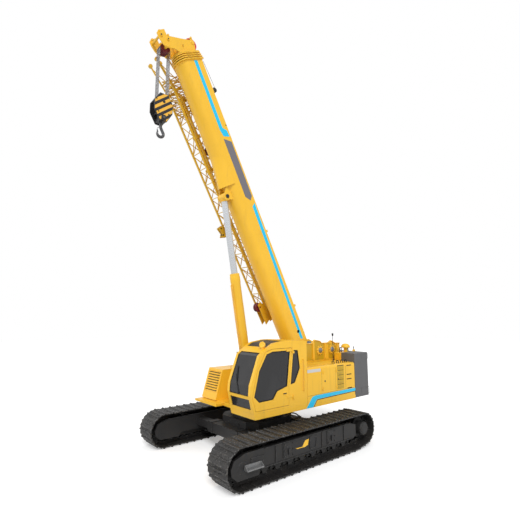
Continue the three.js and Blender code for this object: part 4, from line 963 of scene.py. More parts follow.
def buildRightHood():
    d = hoodDetail
    foot, top = (np.array(p) for p in d["front"])
    up = top - foot
    outward = np.array([up[1], -up[0]]) / np.linalg.norm(up)
    dark, painted = [], []
    shares = np.linspace(d["low"], d["high"], d["slats"])
    for share in shares:
        middle = foot + up * share
        # a dark strip under each lip: painted shade
        slot = [middle - up * 0.022 + outward * 0.0005, middle + up * 0.022 + outward * 0.0005,
                middle + up * 0.022 + outward * 0.003, middle - up * 0.022 + outward * 0.003]
        dark.append(slab(slot, d["outer"], d["inner"], "y", 0.0008))
        lip = [middle + up * 0.02, middle + up * 0.034, middle + up * 0.012 + outward * 0.03,
               middle + up * 0.004 + outward * 0.028]
        painted.append(slab(lip, d["outer"] + 0.01, d["inner"] - 0.01, "y", 0.001))
    corners = [foot + up * (d["low"] - 0.05), foot + up * (d["high"] + 0.05)]
    rim = np.array([[*corners[0], d["inner"] + 0.03], [*corners[1], d["inner"] + 0.03],
                    [*corners[1], d["outer"] - 0.03],
                    [*corners[0], d["outer"] - 0.03]])
    rim = np.stack([rim[:, 0] + outward[0] * 0.004, rim[:, 2], rim[:, 1] + outward[1] * 0.004], -1)
    painted.append(tube(rounded(rim, 0.03, 4, closed=True), 0.009, 8, closed=True))
    # door panels, hinges and latch on the right face, raised lids and two posts on the top
    face = -leftSide
    for x0, x1 in ((-2.82, -1.7), (-1.64, -0.5), (-0.44, 0.56)):
        painted.append(slab(rectangle(x0, x1, 1.42, 2.1), face - 0.001, face - 0.012, "y", 0.004))
        for z in (1.55, 1.97):
            pin = np.array([[x0 + 0.015, face - 0.016, z - 0.05]])
            painted.append(rods(pin, pin + [0, 0, 0.1], 0.013, 10))
        dark.append(turned(latchProfile, (x1 - 0.06, face - 0.012, 1.76), (0, -1, 0), 20))
    # rows of dark strips on the right face: painted shade in vent slots
    for k in range(6):
        z = 1.5 + 0.09 * k
        dark.append(slab(rectangle(-2.66, -1.9, z, z + 0.03), face - 0.0115, face - 0.0145, "y", 0.0008))
    for x0, x1 in ((-2.7, -1.55), (-1.45, -0.3)):
        painted.append(slab([(x0, -1.4), (x1, -1.4), (x1, -0.82), (x0, -0.82)], 2.2, 2.212, "z", 0.004))
    for x in (0.46, 0.2):
        post = np.array([[x, -0.76, 2.195]])
        painted.append(rods(post, post + [0, 0, 0.11], 0.012, 10))
    makePiece("hoodLouvreShadow", "upperworks", darkPartsAndRecessShade, "yellow_paint", *dark)
    makePiece("hoodFittings", "upperworks", yellow, "yellow_paint", *painted)


winchDetail = {"centres": (-2.23, -2.85), "height": 2.68, "face": 0.54, "drum": 0.18, "turns": 38,
               "ropeRadius": 0.011,
               "coverShift": (-0.06, 0.025), "coverScale": 0.68}


def buildWinches():
    d = winchDetail
    painted, grey, dark = [], [], []
    scale = d["coverScale"]
    for drumX in d["centres"]:
        x, z = drumX + d["coverShift"][0], d["height"] + d["coverShift"][1]
        for side in (1, -1):
            level = (d["face"] + 0.003) * side
            axis = (0, side, 0)
            frameRing = np.array([(0.235, 0.0), (0.235, 0.02), (0.2, 0.03), (0.13, 0.03), (0.13, 0.0)]) * [scale, 1]
            painted.append(turned(frameRing, (x, level, z), axis, 40))
            gear = np.array([(0.001, 0.1), (0.05, 0.1), (0.062, 0.09), (0.065, 0.07), (0.095, 0.065), (0.12, 0.05),
                             (0.14, 0.0)]) * [scale, 1]
            grey.append(turned(gear, (x, level, z), axis, 36))
            turn = np.linspace(0, 2 * np.pi, 10, endpoint=False)
            reach = 0.215 * scale
            ring = np.stack([x + reach * np.cos(turn), np.full(10, level + 0.024 * side),
                             z + reach * np.sin(turn)], -1)
            dark.append(bolts(ring, axis, 0.012, 0.012))
    # upright ribs and edge flanges on the cheek plates
    humps = [(-1.4, 2.95), (-1.9, 2.95), (-2.04, 3.065), (-2.29, 3.02), (-2.38, 2.95), (-2.73, 2.945), (-2.88, 3.015),
             (-3.09, 2.925), (-3.367, 2.915)]
    panels = [[(-1.5, 2.95), (-1.99, 2.95), (-1.99, 2.4), (-1.55, 2.4)],
              [(-2.04, 3.05), (-2.29, 3.0), (-2.38, 2.93), (-2.5, 2.93), (-2.5, 2.4), (-2.04, 2.4)],
              [(-2.75, 2.91), (-3.08, 2.895), (-3.345, 2.56), (-3.34, 2.47), (-3.28, 2.42), (-2.75, 2.4)]]
    # the cheek plates' panels in the darker yellow: painted shade
    shade = [slab(panel, side * 0.5385, side * 0.546, "y", 0.002) for panel in panels for side in (1, -1)]
    makePiece("winchPanels", "upperworks", shadeYellow, "yellow_paint", *shade)
    for side in (1, -1):
        for x0, x1, top in ((-1.96, -1.92, 2.96), (-2.56, -2.52, 2.92), (-3.2, -3.17, 2.89)):
            painted.append(slab(rectangle(x0, x1, 2.42, top), side * 0.538, side * 0.585, "y", 0.005))
        for (x0, z0), (x1, z1) in zip(humps[:-1], humps[1:]):
            edge = [(x0, z0), (x1, z1), (x1, z1 - 0.022), (x0, z0 - 0.022)]
            painted.append(slab(edge, side * 0.538, side * 0.57, "y", 0.003))
    makePiece("winchFrames", "upperworks", yellow, "yellow_paint", *painted)
    makePiece("gearboxCovers", "upperworks", gearSteel, "grey_paint", *grey)
    makePiece("winchBolts", "upperworks", chainSteel, "charcoal_paint", *dark)
    for x, body, name in zip(d["centres"], ("main_winch", "aux_winch"), ("mainRopeLayer", "auxRopeLayer")):
        # a helix on the drum: angle runs evenly while the lead moves one pitch a turn
        turn = np.linspace(0, 2 * np.pi * d["turns"], d["turns"] * 20)
        reach = d["drum"] + d["ropeRadius"]
        lead = np.linspace(-0.45, 0.45, len(turn))
        path = np.stack([x + reach * np.cos(turn), lead, d["height"] + reach * np.sin(turn)], -1)
        makeRope(name, body, path, d["ropeRadius"], 6)


def makeRope(name, body, path, radius, sides=10, replaced=None, shifts=(0.0,)):
    # tubes side by side with one UV map: once round the girth, and metres along the length
    path = np.asarray(path, float)
    parts = [tube(path + [0, shift, 0], radius, sides) for shift in shifts]
    reach = np.concatenate([[0], np.cumsum(np.linalg.norm(np.diff(path, axis=0), axis=1))])
    uv = np.stack(np.meshgrid(np.arange(sides) / sides, reach), -1).reshape(-1, 2)
    rope = makePiece(name, body, wireRope, "rope_steel", *parts, uv=np.concatenate([uv] * len(shifts)), sharp=80)
    if replaced:
        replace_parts(rope, replaced)
    return rope


weightDetail = {"marks": [(-3.66, -3.28, 2.42, 2.58), (-3.68, -3.24, 1.29, 1.5)], "post": (-3.7, 0.9),
                "pole": (-2.49, 0.95)}


def buildCounterweight():
    d = weightDetail
    plates, yellowParts, dark = [], [], []
    for side in (1, -1):
        face = leftSide * side
        for x0, x1, z0, z1 in d["marks"]:
            rim = lift(rectangle(x0, x1, z0, z1), face, "y")
            plates.append(tube(rim, 0.006, 6, closed=True))
    for y in (-0.95, 0.95):  # lifting lugs of the top slab
        yellowParts.append(slab([(-3.7, 2.62), (-3.56, 2.62), (-3.59, 2.69), (-3.67, 2.69)], y - 0.02, y + 0.02, "y"))
    for z0, z1 in ((1.33, 1.8), (2.0, 2.5)):
        x = -3.8 + 0.05 * (z0 - 1.23)
        rim = [(x + 0.005, y, z) for y, z in ((-1.1, z0), (1.1, z0), (1.1, z1), (-1.1, z1))]
        lean = 0.05 * (z1 - z0)
        rim = np.array(rim) + [[0, 0, 0], [0, 0, 0], [lean, 0, 0], [lean, 0, 0]]
        plates.append(tube(rim, 0.006, 6, closed=True))
    # mushroom vent, hooped guard, post and beacon pole
    yellowParts.append(block((-3.41, 0.66, 2.3), (-2.92, 0.95, 2.62), 0.02))
    cap = [(0.001, 0.285), (0.07, 0.278), (0.12, 0.25), (0.15, 0.2), (0.155, 0.16), (0.145, 0.145), (0.07, 0.14),
           (0.06, 0.0)]
    yellowParts.append(turned(cap, (-3.236, 0.9, 2.62), (0, 0, 1), 36))
    x, y = d["post"]
    dark.append(turned([(0.001, 0.17), (0.014, 0.165), (0.016, 0.1), (0.012, 0.09), (0.012, 0.0)], (x, y, 2.62),
                       (0, 0, 1), 14))
    for middle, y, low in ((-3.36, 0.88, 2.61), (-2.98, 0.88, 2.61)):
        hoop = rounded([(middle - 0.04, y, low), (middle - 0.04, y, low + 0.17), (middle + 0.04, y, low + 0.17),
                        (middle + 0.04, y, low)], 0.035)
        dark.append(tube(hoop, 0.014, 8))
    x, y = d["pole"]
    dark.append(turned([(0.001, 0.93), (0.028, 0.92), (0.034, 0.87), (0.028, 0.84), (0.009, 0.835), (0.009, 0.0)],
                       (x, y, 2.35), (0, 0, 1), 16))
    makePiece("weightMarks", "upperworks", weightGrey, "grey_paint", *plates)
    makePiece("weightLugs", "upperworks", yellow, "yellow_paint", *yellowParts)
    makePiece("postAndPole", "upperworks", blackPaint, "block_black", *dark)


buildEngineCover()
buildRightHood()
buildWinches()
buildCounterweight()
print("upperworks built")

# ---- boom: X along it, Z to its back ----
boomShape = {
    "width": 0.62,
    "depth": 0.76,
    "skin": 0.003,
    "start": 0.36,
    "end": 9.765,
    "stripes": [
        [(9.737, 0.047), (9.734, 0.166), (7.695, 0.159), (7.592, 0.286), (7.393, 0.31), (7.439, 0.083),
         (7.639, 0.029)],
        [(5.242, 0.306), (5.157, 0.174), (0.51, 0.097), (0.467, 0.205)],
    ],
    "greyBand": [(7.371, 0.042), (7.235, 0.306), (5.471, 0.302), (5.355, 0.189), (5.518, 0.035)],
}


def boomSection(width, depth, grow=0.0, belly=48):
    # flat back with small bevels over a half ellipse: (half cos, -back + rise + rise sin) below the flanks
    half, back, rise, bevel = width / 2, depth / 2, width * 0.375, 0.025
    turn = np.linspace(np.pi, 2 * np.pi, belly)
    arc = np.stack([(half + grow) * np.cos(turn), -back + rise + (rise + grow) * np.sin(turn)], -1)
    top = [(half + grow, back - bevel), (half - bevel, back + grow), (bevel - half, back + grow),
           (-half - grow, back - bevel)]
    return np.concatenate([arc, top])


def boomSleeve(sections, closedEnds=True):
    # rings of the boom's section at distances along it: (distance, width, depth, grow)
    rings = np.stack([lift(boomSection(w, d, g), x, "x") for x, w, d, g in sections])
    return ringStack(rings, closed=not closedEnds)


def buildBoom():
    s = boomShape
    w, d = s["width"], s["depth"]
    inner = -0.001
    skin = boomSleeve([(s["start"], w, d, inner), (s["start"], w, d, s["skin"]), (s["end"], w, d, s["skin"]),
                       (s["end"], w, d, inner)], closedEnds=False)
    makePiece("boomSkin", "boom_base", yellow, "yellow_paint", onBoom(skin), sharp=30)
    face = w / 2 + s["skin"]
    cyan, grey = [], []
    for side in (1, -1):
        for outline in s["stripes"]:
            cyan.append(slab(outline, side * (face + decalGap), side * (face + 0.0025), "y", 0.0005))
        grey.append(slab(s["greyBand"], side * (face + decalGap), side * (face + 0.0025), "y", 0.0005))
    makePiece("boomStripes", "boom_base", cyanDecal, "yellow_paint", *(onBoom(p) for p in cyan))
    makePiece("boomBlankBand", "boom_base", greyDecal, "grey_paint", *(onBoom(p) for p in grey))


fairing = {"low": 6.01, "point": 7.00, "swell": 0.2, "side": 0.035, "thick": 0.012}


def buildCylinderFairing():
    # a keel on the belly over the cylinder's head: the section's lower half pushed out in step with the angle's
    # nearness to the lowest line, so a ridge runs along it, and most at its foot
    f = fairing
    along = np.linspace(0, 1, 16)
    turn = np.linspace(np.pi * 1.02, np.pi * 1.98, 41)
    half, back, rise = 0.31, 0.38, 0.2325
    down = -np.sin(turn)  # 0 at the flanks, 1 at the belly's lowest line
    taper = (1 - along) ** 1.15
    keel = 1 - np.abs(turn - 1.5 * np.pi) / (0.5 * np.pi)
    push = taper[:, None] * (f["side"] + (f["swell"] - f["side"]) * keel[None])
    x = f["low"] + (f["point"] - f["low"]) * along[:, None] * (0.62 + 0.38 * down[None] ** 0.5)
    outer = np.stack([x, (half + 0.5 * push) * np.cos(turn)[None],
                      -back + rise + (rise + push) * np.sin(turn)[None]], -1)
    innerPush = np.maximum(push - f["thick"], 0.0)
    inner = np.stack([x, (half + 0.5 * innerPush) * np.cos(turn)[None],
                      -back + rise + (rise + innerPush) * np.sin(turn)[None]], -1)
    rings = np.concatenate([outer, inner[:, ::-1]], 1)
    makePiece("cylinderFairing", "boom_base", yellow, "yellow_paint", onBoom(ringStack(rings)), sharp=12)
    caps = [turned([(0.001, 0.03), (0.05, 0.03), (0.06, 0.018), (0.06, 0.0)], (5.73, side * 0.179, -0.515),
                   (0, side, 0), 28)
            for side in (1, -1)]
    makePiece("eyePinCaps", "boom_base", blackPaint, "block_black", *(onBoom(p) for p in caps))


def buildCollars():
    # wiper seal round the next section at each collar's mouth, wear-pad blocks and bolts on its rim
    owners = ("boom_base", "boom_2", "boom_3", "boom_4")
    for k, body in enumerate(owners):
        width, depth = 0.62 - 0.06 * k, 0.76 - 0.06 * k
        x, lip = 9.8 + 0.062 * k, 0.045 + 0.02 * k
        seal = boomSleeve([(x, width - 0.06, depth - 0.06, 0.002), (x, width - 0.06, depth - 0.06, 0.03),
                           (x + 0.026, width - 0.06, depth - 0.06, 0.024), (x + 0.026, width - 0.06, depth - 0.06,
                                                                            0.002)],
                          closedEnds=False)
        parts = [seal]
        for y in (-width / 4, width / 4):
            parts.append(block((x - 0.027, y - 0.045, depth / 2 + lip - 0.011),
                               (x - 0.004, y + 0.045, depth / 2 + lip + 0.001), 0.004))
        for side in (1, -1):
            for z in (-0.1, 0.2):
                level = side * (width / 2 + lip - 0.007)
                spot = np.array([(x - 0.015, level, z), (x - 0.015, level, z + 0.06)])
                parts.append(bolts(spot, (0, side, 0), 0.008, 0.008))
        makePiece("collarPads" + str(k + 1), body, blackRubber, "charcoal_paint", *(onBoom(p) for p in parts))


headDetail = {"face": 0.25, "knobs": [(10.377, -0.535, 0.04), (10.196, -0.109, 0.022), (10.501, -0.712, 0.045)]}


def buildHead():
    d = headDetail
    painted, dark = [], []
    for side in (1, -1):
        level = d["face"] * side
        for x, z, r in d["knobs"]:
            painted.append(turned([(0.001, 0.035), (r * 0.8, 0.035), (r, 0.025), (r * 1.15, 0.0)], (x, level, z),
                                  (0, side, 0), 24))
            dark.append(turned([(0.001, 0.006), (r * 0.5, 0.006), (r * 0.55, 0.0)], (x, level + 0.034 * side, z),
                               (0, side, 0), 18))
        for x, z in ((10.211, -0.618), (10.275, 0.296)):  # sheave pin caps
            painted.append(turned([(0.001, 0.02), (0.05, 0.02), (0.06, 0.012), (0.06, 0.0)], (x, level, z),
                                  (0, side, 0), 24))
        # ears for the jib's pins above the plate edge, and the rope guard posts
        for x, z in ((10.56, -0.71), (10.44, -0.47), (10.36, 0.3)):
            painted.append(slab([(x - 0.06, z - 0.045), (x + 0.07, z - 0.03), (x + 0.07, z + 0.03),
                                 (x - 0.06, z + 0.045)],
                                level - 0.05 * side, level - 0.005 * side, "y", 0.006))
            tip = np.array([[x + 0.06, level - 0.06 * side, z]])
            painted.append(rods(tip, tip + [0, 0.07 * side, 0], 0.03, 14))
    guard = [(10.45, -0.48), (10.38, -0.12), (10.35, 0.04)]
    starts = lift(guard, -0.22, "y")
    painted.append(rods(starts, starts * [1, -1, 1], 0.016, 12))
    makePiece("headFittings", "boom_5", yellow, "yellow_paint", *(onBoom(p) for p in painted))
    makePiece("headPinCaps", "boom_5", blackPaint, "block_black", *(onBoom(p) for p in dark))


def sheave(centre, radius, half, bore, groove):
    # rim, rope groove, thin web and hub as one turned profile about the Y axis
    rim = [(bore, -half), (bore * 1.9, -half), (bore * 2.0, -half * 0.45), (radius * 0.78, -half * 0.4),
           (radius * 0.84, -half * 0.9), (radius, -half * 0.85), (radius, -half * 0.62), (radius - groove,
                                                                                          -half * 0.18),
           (radius - groove, half * 0.18), (radius, half * 0.62), (radius, half * 0.85), (radius * 0.84, half * 0.9),
           (radius * 0.78, half * 0.4), (bore * 2.0, half * 0.45), (bore * 1.9, half), (bore, half)]
    rings = turned(rim, centre, (0, 1, 0), 48)
    count = len(rim)
    faces = gridFaces(count, 48, wrapRows=True)
    return rings[0], faces


def buildSheaves():
    four = (-0.09, -0.03, 0.03, 0.09)
    sets = [
        ("headSheaveSet", "head_sheave_set", redPaint, "head_sheaves", headSheaveCentre, 0.1405, four, 0.024, 0.0415),
        ("topSheaveSet", "top_sheave_wheel", brightRed, "top_sheave", topSheaveCentre, 0.1875, (0.07, 0.13),
         0.028, 0.0415),
        ("blockSheaveSet", "block_sheave_set", redPaint, "block_sheaves", blockSheaveCentre, 0.1405, four, 0.024,
         0.0465),
    ]
    for name, body, material, node, centre, radius, ys, half, bore in sets:
        discs = [sheave(centre + [0, y, 0], radius, half, bore, 0.024) for y in ys]
        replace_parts(makePiece(name, body, material, "sheave_red", *discs), node)


latticeDetail = {
    "ys": (-0.47, -0.9),
    "low": (-0.19, -0.03),  # height of the lower chord at its thin end, and how fast it falls
    "high": (0.4, 0.00377),  # depth between the chords at the thin end, and how fast it grows
    "bays": 16,
    "sheaves": [(7.29, 0.088, -0.9), (1.941, -0.397, -0.69)],  # x, z and the outer end of the axle
    "bracket": (4.723, -0.413),
}


def buildJibDetails():
    d = latticeDetail
    painted, red, dark = [], [], []
    inner, outer = d["ys"]
    low = lambda x: d["low"][0] + d["low"][1] * (x - 1.35)
    height = lambda x: d["high"][0] + d["high"][1] * (x - 1.35)
    high = lambda x: low(x) + height(x)
    edges = np.linspace(1.375, 9.275, d["bays"] + 1)
    for k in range(d["bays"]):
        a, b = edges[k], edges[k + 1]
        ys = (inner, outer) if k % 2 else (outer, inner)
        for level in (low, high):  # slanting bars between the two side faces
            painted.append(rods([(a, ys[0], level(a))], [(b, ys[1], level(b))], 0.013, 8))
        first, second = (low, high) if k % 2 else (high, low)
        for y in (inner, outer):  # the second diagonal of each side face
            painted.append(rods([(a, y, first(a))], [(b, y, second(b))], 0.013, 8))
    # gusset plates at the root and at the tip, where the lattice is boxed in
    for y in (inner, outer):
        root = [(9.3, low(9.3) - 0.03), (9.3, high(9.3) + 0.03), (9.24, high(9.24) + 0.02), (9.26, low(9.26) + 0.22),
                (9.2, low(9.2) - 0.03)]
        tip = [(1.33, low(1.35) - 0.03), (1.75, low(1.75) - 0.03), (1.62, low(1.62) + 0.2), (1.75, high(1.75)),
               (1.33, high(1.35))]
        for outline in (root, tip):
            painted.append(slab(outline, y - 0.02, y + 0.02, "y", 0.004))
    stations = np.linspace(8.5, 9.7, 9)
    for a, b in zip(stations[:-1], stations[1:]):  # denser bracing where the root arms leave the lattice
        for y in (inner, outer):
            painted.append(rods([(a, y, low(a)), (a, y, high(a))], [(b, y, high(b)), (b, y, low(b))], 0.015, 8))
        painted.append(rods([(a, inner, low(a)), (a, inner, high(a))], [(b, outer, high(b)), (b, outer, low(b))],
                            0.014, 8))
    for x, z in ((9.4, low(9.4)), (9.6, low(9.3) - 0.02), (9.42, high(9.4)), (9.6, high(9.3) - 0.06)):
        painted.append(rods([(x, outer, z)], [(x, inner, z)], 0.024, 10))
    for x, z in ((10.193, -0.62), (10.262, -0.24)):
        for y in (inner, outer):
            painted.append(turned([(0.02, -0.035), (0.06, -0.035), (0.06, 0.035), (0.02, 0.035)], (x, y, z),
                                  (0, 1, 0), 20))
    # stowage hooks on the two arms, the folded strut and the lug bracket under the lower chord
    for x in (2.35, 8.65):
        z = high(x)
        painted.append(block((x - 0.07, -0.52, z - 0.12), (x + 0.07, -0.43, z + 0.09), 0.006))
        painted.append(block((x - 0.1, -0.36, z - 0.16), (x + 0.1, -0.315, z + 0.12), 0.006))
        dark.append(bolts([(x + i, -0.52, z + j) for i in (-0.045, 0.045) for j in (-0.08, 0.05)], (0, -1, 0)))
    strut = np.array([(9.05, -0.56, -0.2), (6.6, -0.58, -0.14)])
    painted.append(rods(strut[:1], strut[1:], 0.045, 16))
    painted.append(rods(strut[:1] + [0, -0.12, 0.0], strut[1:] + [0, -0.12, 0], 0.03, 12))
    for x in (8.95, 7.8, 6.7):
        painted.append(block((x - 0.05, -0.74, -0.26), (x + 0.05, -0.5, -0.1), 0.01))
    bx, bz = d["bracket"]
    for y in (-0.84, -0.94):
        painted.append(slab([(bx - 0.22, bz + 0.06), (bx + 0.2, bz + 0.06), (bx + 0.16, bz - 0.12),
                             (bx - 0.05, bz - 0.06),
                             (bx - 0.16, bz - 0.14)], y - 0.012, y + 0.012, "y", 0.003))
    dark.append(rods([(bx - 0.1, -0.96, bz - 0.05)], [(bx - 0.1, -0.82, bz - 0.05)], 0.028, 14))
    dark.append(rods([(bx + 0.12, -0.96, bz - 0.03)], [(bx + 0.12, -0.82, bz - 0.03)], 0.022, 14))
    for x, z, end in d["sheaves"]:
        for y in (-0.55, -0.64):
            red.append(sheave(np.array([x, y, z]), 0.15, 0.03, 0.03, 0.02))
        red.append(rods([(x, end, z)], [(x, inner, z)], 0.028, 12))
    # tip sheave cage: two plates hanging below the lattice's thin end
    for y in (-0.49, -0.69):
        painted.append(slab([(1.3, -0.42), (2.05, -0.45), (2.1, -0.32), (1.9, -0.18), (1.4, -0.16)], y - 0.01,
                            y + 0.01, "y"))
    makePiece("jibLacing", "boom_base", shadedLatticeYellow, "yellow_paint", *(onBoom(p) for p in painted))
    makePiece("jibSheaves", "boom_base", redPaint, "sheave_red", *(onBoom(p) for p in red))
    makePiece("jibPins", "boom_base", blackPaint, "block_black", *(onBoom(p) for p in dark))


backDetail = {"lugs": (1.56, 4.25), "reel": 8.85, "rollers": (1.2, 3.4, 6.2, 8.3)}


def buildBoomBack():
    d = backDetail
    painted, dark, steel = [], [], []
    top = 0.383
    for x in d["lugs"]:
        for y in (-0.2, 0.2):
            painted.append(slab([(x - 0.07, top), (x + 0.07, top), (x + 0.03, top + 0.13), (x - 0.03, top + 0.13)],
                                y - 0.012, y + 0.012, "y", 0.003))
    # rope guide rollers between pairs of cheeks
    for x in d["rollers"]:
        for y in (-0.13, 0.13):
            painted.append(slab([(x - 0.05, top), (x + 0.05, top), (x + 0.03, top + 0.09), (x - 0.03, top + 0.09)],
                                y - 0.01, y + 0.01, "y", 0.003))
        steel.append(rods([(x, -0.125, top + 0.045)], [(x, 0.125, top + 0.045)], 0.022, 14))
    # small cable reel with its wire to the collar
    x = d["reel"]
    painted.append(slab([(x - 0.06, top), (x + 0.06, top), (x + 0.03, top + 0.1), (x - 0.03, top + 0.1)], 0.2,
                        0.215, "y", 0.002))
    dark.append(turned([(0.001, 0.05), (0.075, 0.05), (0.075, 0.04), (0.045, 0.036), (0.045, 0.014), (0.075, 0.01),
                        (0.075, 0.0), (0.001, 0.0)], (x, 0.216, top + 0.07), (0, 1, 0), 28))
    steel.append(rods([(x, 0.24, top + 0.13)], [(9.74, 0.24, top + 0.06)], 0.006, 6))
    for side in (1, -1):  # foot pin caps and the dark inspection holes low on the flanks
        dark.append(turned([(0.001, 0.002), (0.05, 0.002), (0.055, 0.0)], (0.778, side * 0.3135, 0.114),
                           (0, side, 0), 24))
        # flat dark discs where the inspection holes are: painted shade in the holes
        dark.append(turned([(0.001, 0.002), (0.02, 0.002), (0.022, 0.0)], (7.748, side * 0.3135, 0.330),
                           (0, side, 0), 16))
    makePiece("boomLugs", "boom_base", yellow, "yellow_paint", *(onBoom(p) for p in painted))
    makePiece("boomReel", "boom_base", blackPaint, "block_black", *(onBoom(p) for p in dark))
    makePiece("boomRollers", "boom_base", gearSteel, "grey_paint", *(onBoom(p) for p in steel))


def localPath(points):
    points = np.asarray(points, float)
    return boomPivot + points[:, :1] * boomDirection + points[:, 1:2] * [0, 1, 0] + points[:, 2:] * boomBack


def buildRopes():
    # hoist rope: off the drum, over the guide rollers, then over the top sheave inside the head
    y = 0.03
    run = np.stack([np.linspace(1.25, 9.72, 30), np.full(30, y), np.full(30, 0.383 + 0.078)], -1)
    makeRope("boomRope", "boom_base", localPath(run), 0.011, 8)
    lead = np.stack([np.linspace(0.02, 1.25, 14), np.full(14, y), np.linspace(0.36, 0.461, 14)], -1)
    rope = makeRope("ropeLead", None, localPath(lead), 0.011, 8)
    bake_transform(rope)
    y = 0.07
    turn = np.radians(np.linspace(95, -55, 20))
    over = np.stack([10.275 + 0.176 * np.cos(turn), np.full(20, y), 0.296 + 0.176 * np.sin(turn)], -1)
    start = np.array([[9.74, 0.035, 0.461], [10.02, 0.06, 0.462]])
    end = np.array([[10.37, y, -0.1], [10.362, y, -0.6]])
    makeRope("headRope", "boom_5", localPath(np.concatenate([start, over, end])), 0.011, 8)
    reach = headSheaveCentre[2] - blockSheaveCentre[2]
    for label, shift in (("front", 0.1523), ("rear", -0.1523)):
        for sideName, side in (("left", 1), ("right", -1)):
            low = blockSheaveCentre + [shift, 0.06 * side, 0]
            path = low + np.linspace(0, 1, 40)[:, None] * [[0, 0, reach]]
            name = "fall" + label.title() + sideName.title()
            rope = makeRope(name, "hoist_ropes", path, 0.011, 10, "rope_fall_" + label + "_" + sideName,
                            (-0.03, 0.03))
            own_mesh(rope)


buildBoom()
buildCylinderFairing()
buildCollars()
buildHead()
buildSheaves()
buildJibDetails()
buildBoomBack()
buildRopes()
print("boom built")

# ---- luffing cylinder ----
cylinderShape = {"barrel": 0.146, "rod": 0.1, "barrelEnd": 3.58, "eye": 0.125}


def buildCylinder():
    c = cylinderShape
    axis = rodEye - footPin
    length = np.linalg.norm(axis)
    axis /= length
    end = c["barrelEnd"]
    girth, band = c["barrel"], c["barrel"] + 0.008
    barrel = [(c["rod"] + 0.002, 0.45), (0.13, 0.45), (0.13, 0.12), (girth, 0.12), (girth, 0.35), (band, 0.36),
              (band, 0.42), (girth, 0.43), (girth, end - 0.3), (band, end - 0.28), (band, end - 0.1),
              (girth, end - 0.09), (girth, end - 0.01), (girth - 0.01, end), (c["rod"] + 0.002, end)]
    shell = turned(barrel, footPin, axis, 56)
    shell = (shell[0], gridFaces(len(barrel), 56, wrapRows=True))
    lug = [(0.061, -0.12), (0.122, -0.12), (0.13, -0.11), (0.13, 0.11), (0.122, 0.12), (0.061, 0.12)]
    eyeRing = turned(lug, footPin, (0, 1, 0), 40)
    foot = (eyeRing[0], gridFaces(len(lug), 40, wrapRows=True))
    neck = turned([(0.001, 0.075), (0.11, 0.075), (0.13, 0.12), (0.13, 0.2), (0.001, 0.2)], footPin, axis, 40)
    side, up = crossFrame(axis)
    side, up = np.ravel(side), np.ravel(up)
    sideways = side if abs(side[1]) > abs(up[1]) else up
    forward = np.cross(axis, sideways)
    forward = forward if forward[0] > 0 else -forward
    pipes = []
    for shift in (0.035, -0.035):  # steel pipes along the barrel's front
        offset = forward * 0.168 + sideways * shift
        path = rounded([footPin + axis * 0.5 + forward * 0.14 + sideways * shift, footPin + axis * 0.5 + offset,
                        footPin + axis * 3.25 + offset,
                        footPin + axis * 3.25 + forward * 0.14 + sideways * shift], 0.03)
        pipes.append(tube(path, 0.011, 8))
    barrelPiece = makePiece("cylinderBarrel", "cylinder_barrel", yellow, "yellow_paint", shell, foot, neck, *pipes)
    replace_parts(barrelPiece, "luff_barrel")
    rod = [(0.001, 2.655), (0.098, 2.655), (c["rod"], 2.66), (c["rod"], length - 0.11), (0.001, length - 0.11)]
    rodPiece = makePiece("cylinderRod", "cylinder_rod", chromedRod, "chrome_rod", turned(rod, footPin, axis, 56))
    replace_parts(rodPiece, "luff_rod")
    eyeProfile = [(0.061, -0.13), (0.116, -0.13), (c["eye"], -0.12), (c["eye"], 0.12), (0.116, 0.13), (0.061, 0.13)]
    ring = turned(eyeProfile, rodEye, (0, 1, 0), 40)
    ring = (ring[0], gridFaces(len(eyeProfile), 40, wrapRows=True))
    collar = turned([(0.001, -0.132), (0.108, -0.132), (0.112, -0.124), (0.112, -0.1), (0.001, -0.1)], rodEye,
                    axis, 40)
    makePiece("rodEye", "cylinder_rod", yellow, "yellow_paint", ring, collar)
    caps = [turned([(0.001, 0.03), (0.07, 0.03), (0.08, 0.02), (0.08, 0.0)], footPin + [0, 0.2 * s, 0], (0, s, 0), 28)
            for s in (1, -1)]
    makePiece("footPinCaps", "upperworks", blackPaint, "block_black", *caps)


# ---- hook block ----
blockShape = {"half": 0.27, "top": 9.94, "low": 9.13, "inner": 0.13, "plate": 0.025}
hookShape = {"bowl": 8.82, "reach": 0.091, "thick": 0.041, "tip": 0.021, "shank": 0.0395}


